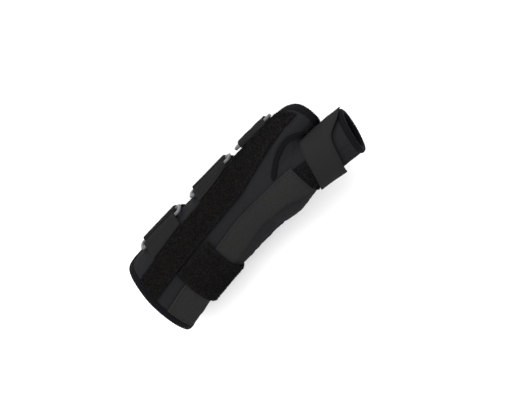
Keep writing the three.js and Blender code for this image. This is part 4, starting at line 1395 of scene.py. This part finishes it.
class SPLINT_OT_thumb_strap(bpy.types.Operator):
    """Makes the smooth elastic strap over the thumb"""

    bl_idname = "splint.thumb_strap"
    bl_label = "Make thumb strap"

    def execute(self, context):
        low = 2 * CLEARANCE + PATCH_THICKNESS
        piece, size, spans = make_band(
            "thumb-strap", thumb_strap_face, low, THUMB_STRAP_THICKNESS, THUMB_STRAP_STEP, "elastic"
        )
        dress(piece, "elastic", "thumb_strap")
        top = low + THUMB_STRAP_THICKNESS
        lines = border_lines(thumb_strap_face, spans, THUMB_STRAP_SEAM_INSET, top)
        sew("thumb-strap-stitches", lines, "elastic")
        return {"FINISHED"}


class SPLINT_OT_closures(bpy.types.Operator):
    """Makes the three closure straps with their ring tabs and rings"""

    bl_idname = "splint.closures"
    bl_label = "Make closures"

    def execute(self, context):
        for seed, (number, strap) in enumerate(STRAPS.items()):
            self.make_strap(number, strap, seed)
            self.make_tab(number, strap)
            make_ring(number, strap)
        return {"FINISHED"}

    def make_strap(self, number, strap, seed):
        face = ribbon_face(closure_path(strap))
        name = f"closure-strap-{number}"
        half = STRAP_THICKNESS / 2
        piece, size, spans = make_band(name, face, -half, STRAP_THICKNESS, CLOSURE_STEP, "pile", "tape")
        dress(piece, "pile", f"closure_strap_{number}")
        extra = [
            sew(f"{name}-stitches", border_lines(face, spans, SEAM_INSET, half, last_end=False), "pile"),
            plush(f"{name}-pile", face, spans, half, 41 + seed, STRAP_PILE_SHARE),
        ]

    def make_tab(self, number, strap):
        face = ribbon_face(tab_path(strap), across=4, count=120)
        name = f"ring-tab-{number}"
        half = TAB_THICKNESS / 2
        piece, size, _spans = make_band(name, face, -half, TAB_THICKNESS, TAB_STEP, "tape")
        dress(piece, "webbing", f"ring_tab_{number}")
        across = np.linspace(0.06, 0.94, 40)
        lines = [stitch_line(face, place, across, half + STITCH_LIFT) for place in TAB_SEAMS]
        sew(f"{name}-stitches", lines, "webbing")


def make_ring(number, strap):
    """A ring with rounded corners, of an even round wire."""
    start, width = strap_span(strap)
    low = start - RING_MARGIN - RING_WIRE / 2
    high = start + width + RING_MARGIN + RING_WIRE / 2
    tab_turn, strap_turn = strap["ring"], ring_strap_turn(strap)
    places = ((low, tab_turn), (high, tab_turn), (high, strap_turn), (low, strap_turn))
    outline = [bar_point(strap, turn, x) for x, turn in places]
    out = unit(on_sleeve(start + width / 2, 270.0, 1.0) - on_sleeve(start + width / 2, 270.0, 0.0))
    centres = []
    for i, point in enumerate(outline):
        before, after = unit(outline[i - 1] - point), unit(outline[(i + 1) % 4] - point)
        for angle in np.linspace(0, math.pi / 2, 9):
            centres.append(
                point + before * RING_WIRE * (1 - math.sin(angle)) + after * RING_WIRE * (1 - math.cos(angle))
            )
    centres = np.array(centres)
    piece = bead(
        f"ring-{number}", centres, np.broadcast_to(out, centres.shape), RING_WIRE, RING_WIRE,
        materials()["ring_plastic"], BEAD_SIDES, True, 0.85,
    )
    dress(made(piece), "ring_plastic", f"ring_{number}")


class SPLINT_OT_stage(bpy.types.Operator):
    """Adds the white floor, the soft lights and the camera at the photo's angle"""

    bl_idname = "splint.stage"
    bl_label = "Make stage"

    def execute(self, context):
        settings = context.scene.splint_stage
        half = FLOOR_SIZE / 2
        mesh = bpy.data.meshes.new("floor")
        corners = [(-half, -half, 0), (half, -half, 0), (half, half, 0), (-half, half, 0)]
        mesh.from_pydata(corners, [], [(0, 1, 2, 3)])
        mesh.materials.append(plain_material("floor", FLOOR_COLOUR, 0.9, 0.05))
        floor = bpy.data.objects.new("floor", mesh)
        context.scene.collection.objects.link(floor)
        for name, (place, size, power) in LIGHTS.items():
            data = bpy.data.lights.new(name, "AREA")
            data.shape = "SQUARE"
            data.size = size
            data.energy = settings.key_power * power
            light = bpy.data.objects.new(name, data)
            light.location = place
            light.rotation_euler = (-Vector(place)).to_track_quat("-Z", "Y").to_euler()
            context.scene.collection.objects.link(light)
        world = bpy.data.worlds.new("surroundings")
        world.use_nodes = True
        backdrop = world.node_tree.nodes["Background"]
        backdrop.inputs["Color"].default_value = (1.0, 1.0, 1.0, 1.0)
        backdrop.inputs["Strength"].default_value = settings.backdrop
        context.scene.world = world
        context.scene.view_settings.view_transform = "Standard"
        data = bpy.data.cameras.new("camera")
        data.sensor_width = CAMERA_SENSOR
        data.lens = CAMERA_LENS
        camera = bpy.data.objects.new("camera", data)
        target = Vector(to_frame(CAMERA_TARGET))
        tilt = math.radians(CAMERA_TILT)
        toward = Vector((math.sin(tilt), 0.0, math.cos(tilt)))
        level = Vector((math.cos(tilt), 0.0, -math.sin(tilt)))
        roll = math.radians(CAMERA_ROLL)
        right = level * math.cos(roll) - Vector((0, 1, 0)) * math.sin(roll)
        up = level * math.sin(roll) + Vector((0, 1, 0)) * math.cos(roll)
        turned = Matrix((right, up, toward)).transposed().to_4x4()
        camera.matrix_world = Matrix.Translation(target + toward) @ turned
        context.scene.collection.objects.link(camera)
        context.scene.camera = camera
        return {"FINISHED"}


class SPLINT_PT_panel(bpy.types.Panel):
    """Lists the splint's sizes with the operators that make its pieces"""

    bl_idname = "SPLINT_PT_panel"
    bl_label = "Thumb spica splint"
    bl_space_type = "VIEW_3D"
    bl_region_type = "UI"
    bl_category = "Splint"

    def draw(self, context):
        scene = context.scene
        for settings, operators in (
            (scene.splint_colours, ()),
            (scene.splint_padding, ("splint.padding", "splint.bindings")),
            (scene.splint_pile, ("splint.bands", "splint.thumb_strap", "splint.closures")),
            (scene.splint_stage, ("splint.stage",)),
        ):
            box = self.layout.box()
            for name in settings.__annotations__:
                box.prop(settings, name)
            for operator in operators:
                box.operator(operator)


CLASSES = (
    SplintColourSettings, SplintPaddingSettings, SplintPileSettings, SplintStageSettings,
    SPLINT_OT_padding, SPLINT_OT_bindings, SPLINT_OT_bands, SPLINT_OT_thumb_strap, SPLINT_OT_closures,
    SPLINT_OT_stage, SPLINT_PT_panel,
)
SETTINGS = {
    "splint_colours": SplintColourSettings,
    "splint_padding": SplintPaddingSettings,
    "splint_pile": SplintPileSettings,
    "splint_stage": SplintStageSettings,
}


def register():
    for kind in CLASSES:
        bpy.utils.register_class(kind)
    for name, kind in SETTINGS.items():
        setattr(bpy.types.Scene, name, bpy.props.PointerProperty(type=kind))


def unregister():
    for name in SETTINGS:
        delattr(bpy.types.Scene, name)
    for kind in reversed(CLASSES):
        bpy.utils.unregister_class(kind)


def main():
    register()
    bpy.ops.splint.padding()
    bpy.ops.splint.bindings()
    bpy.ops.splint.bands()
    bpy.ops.splint.thumb_strap()
    bpy.ops.splint.closures()
    bpy.ops.splint.stage()


if __name__ == "__main__":
    main()
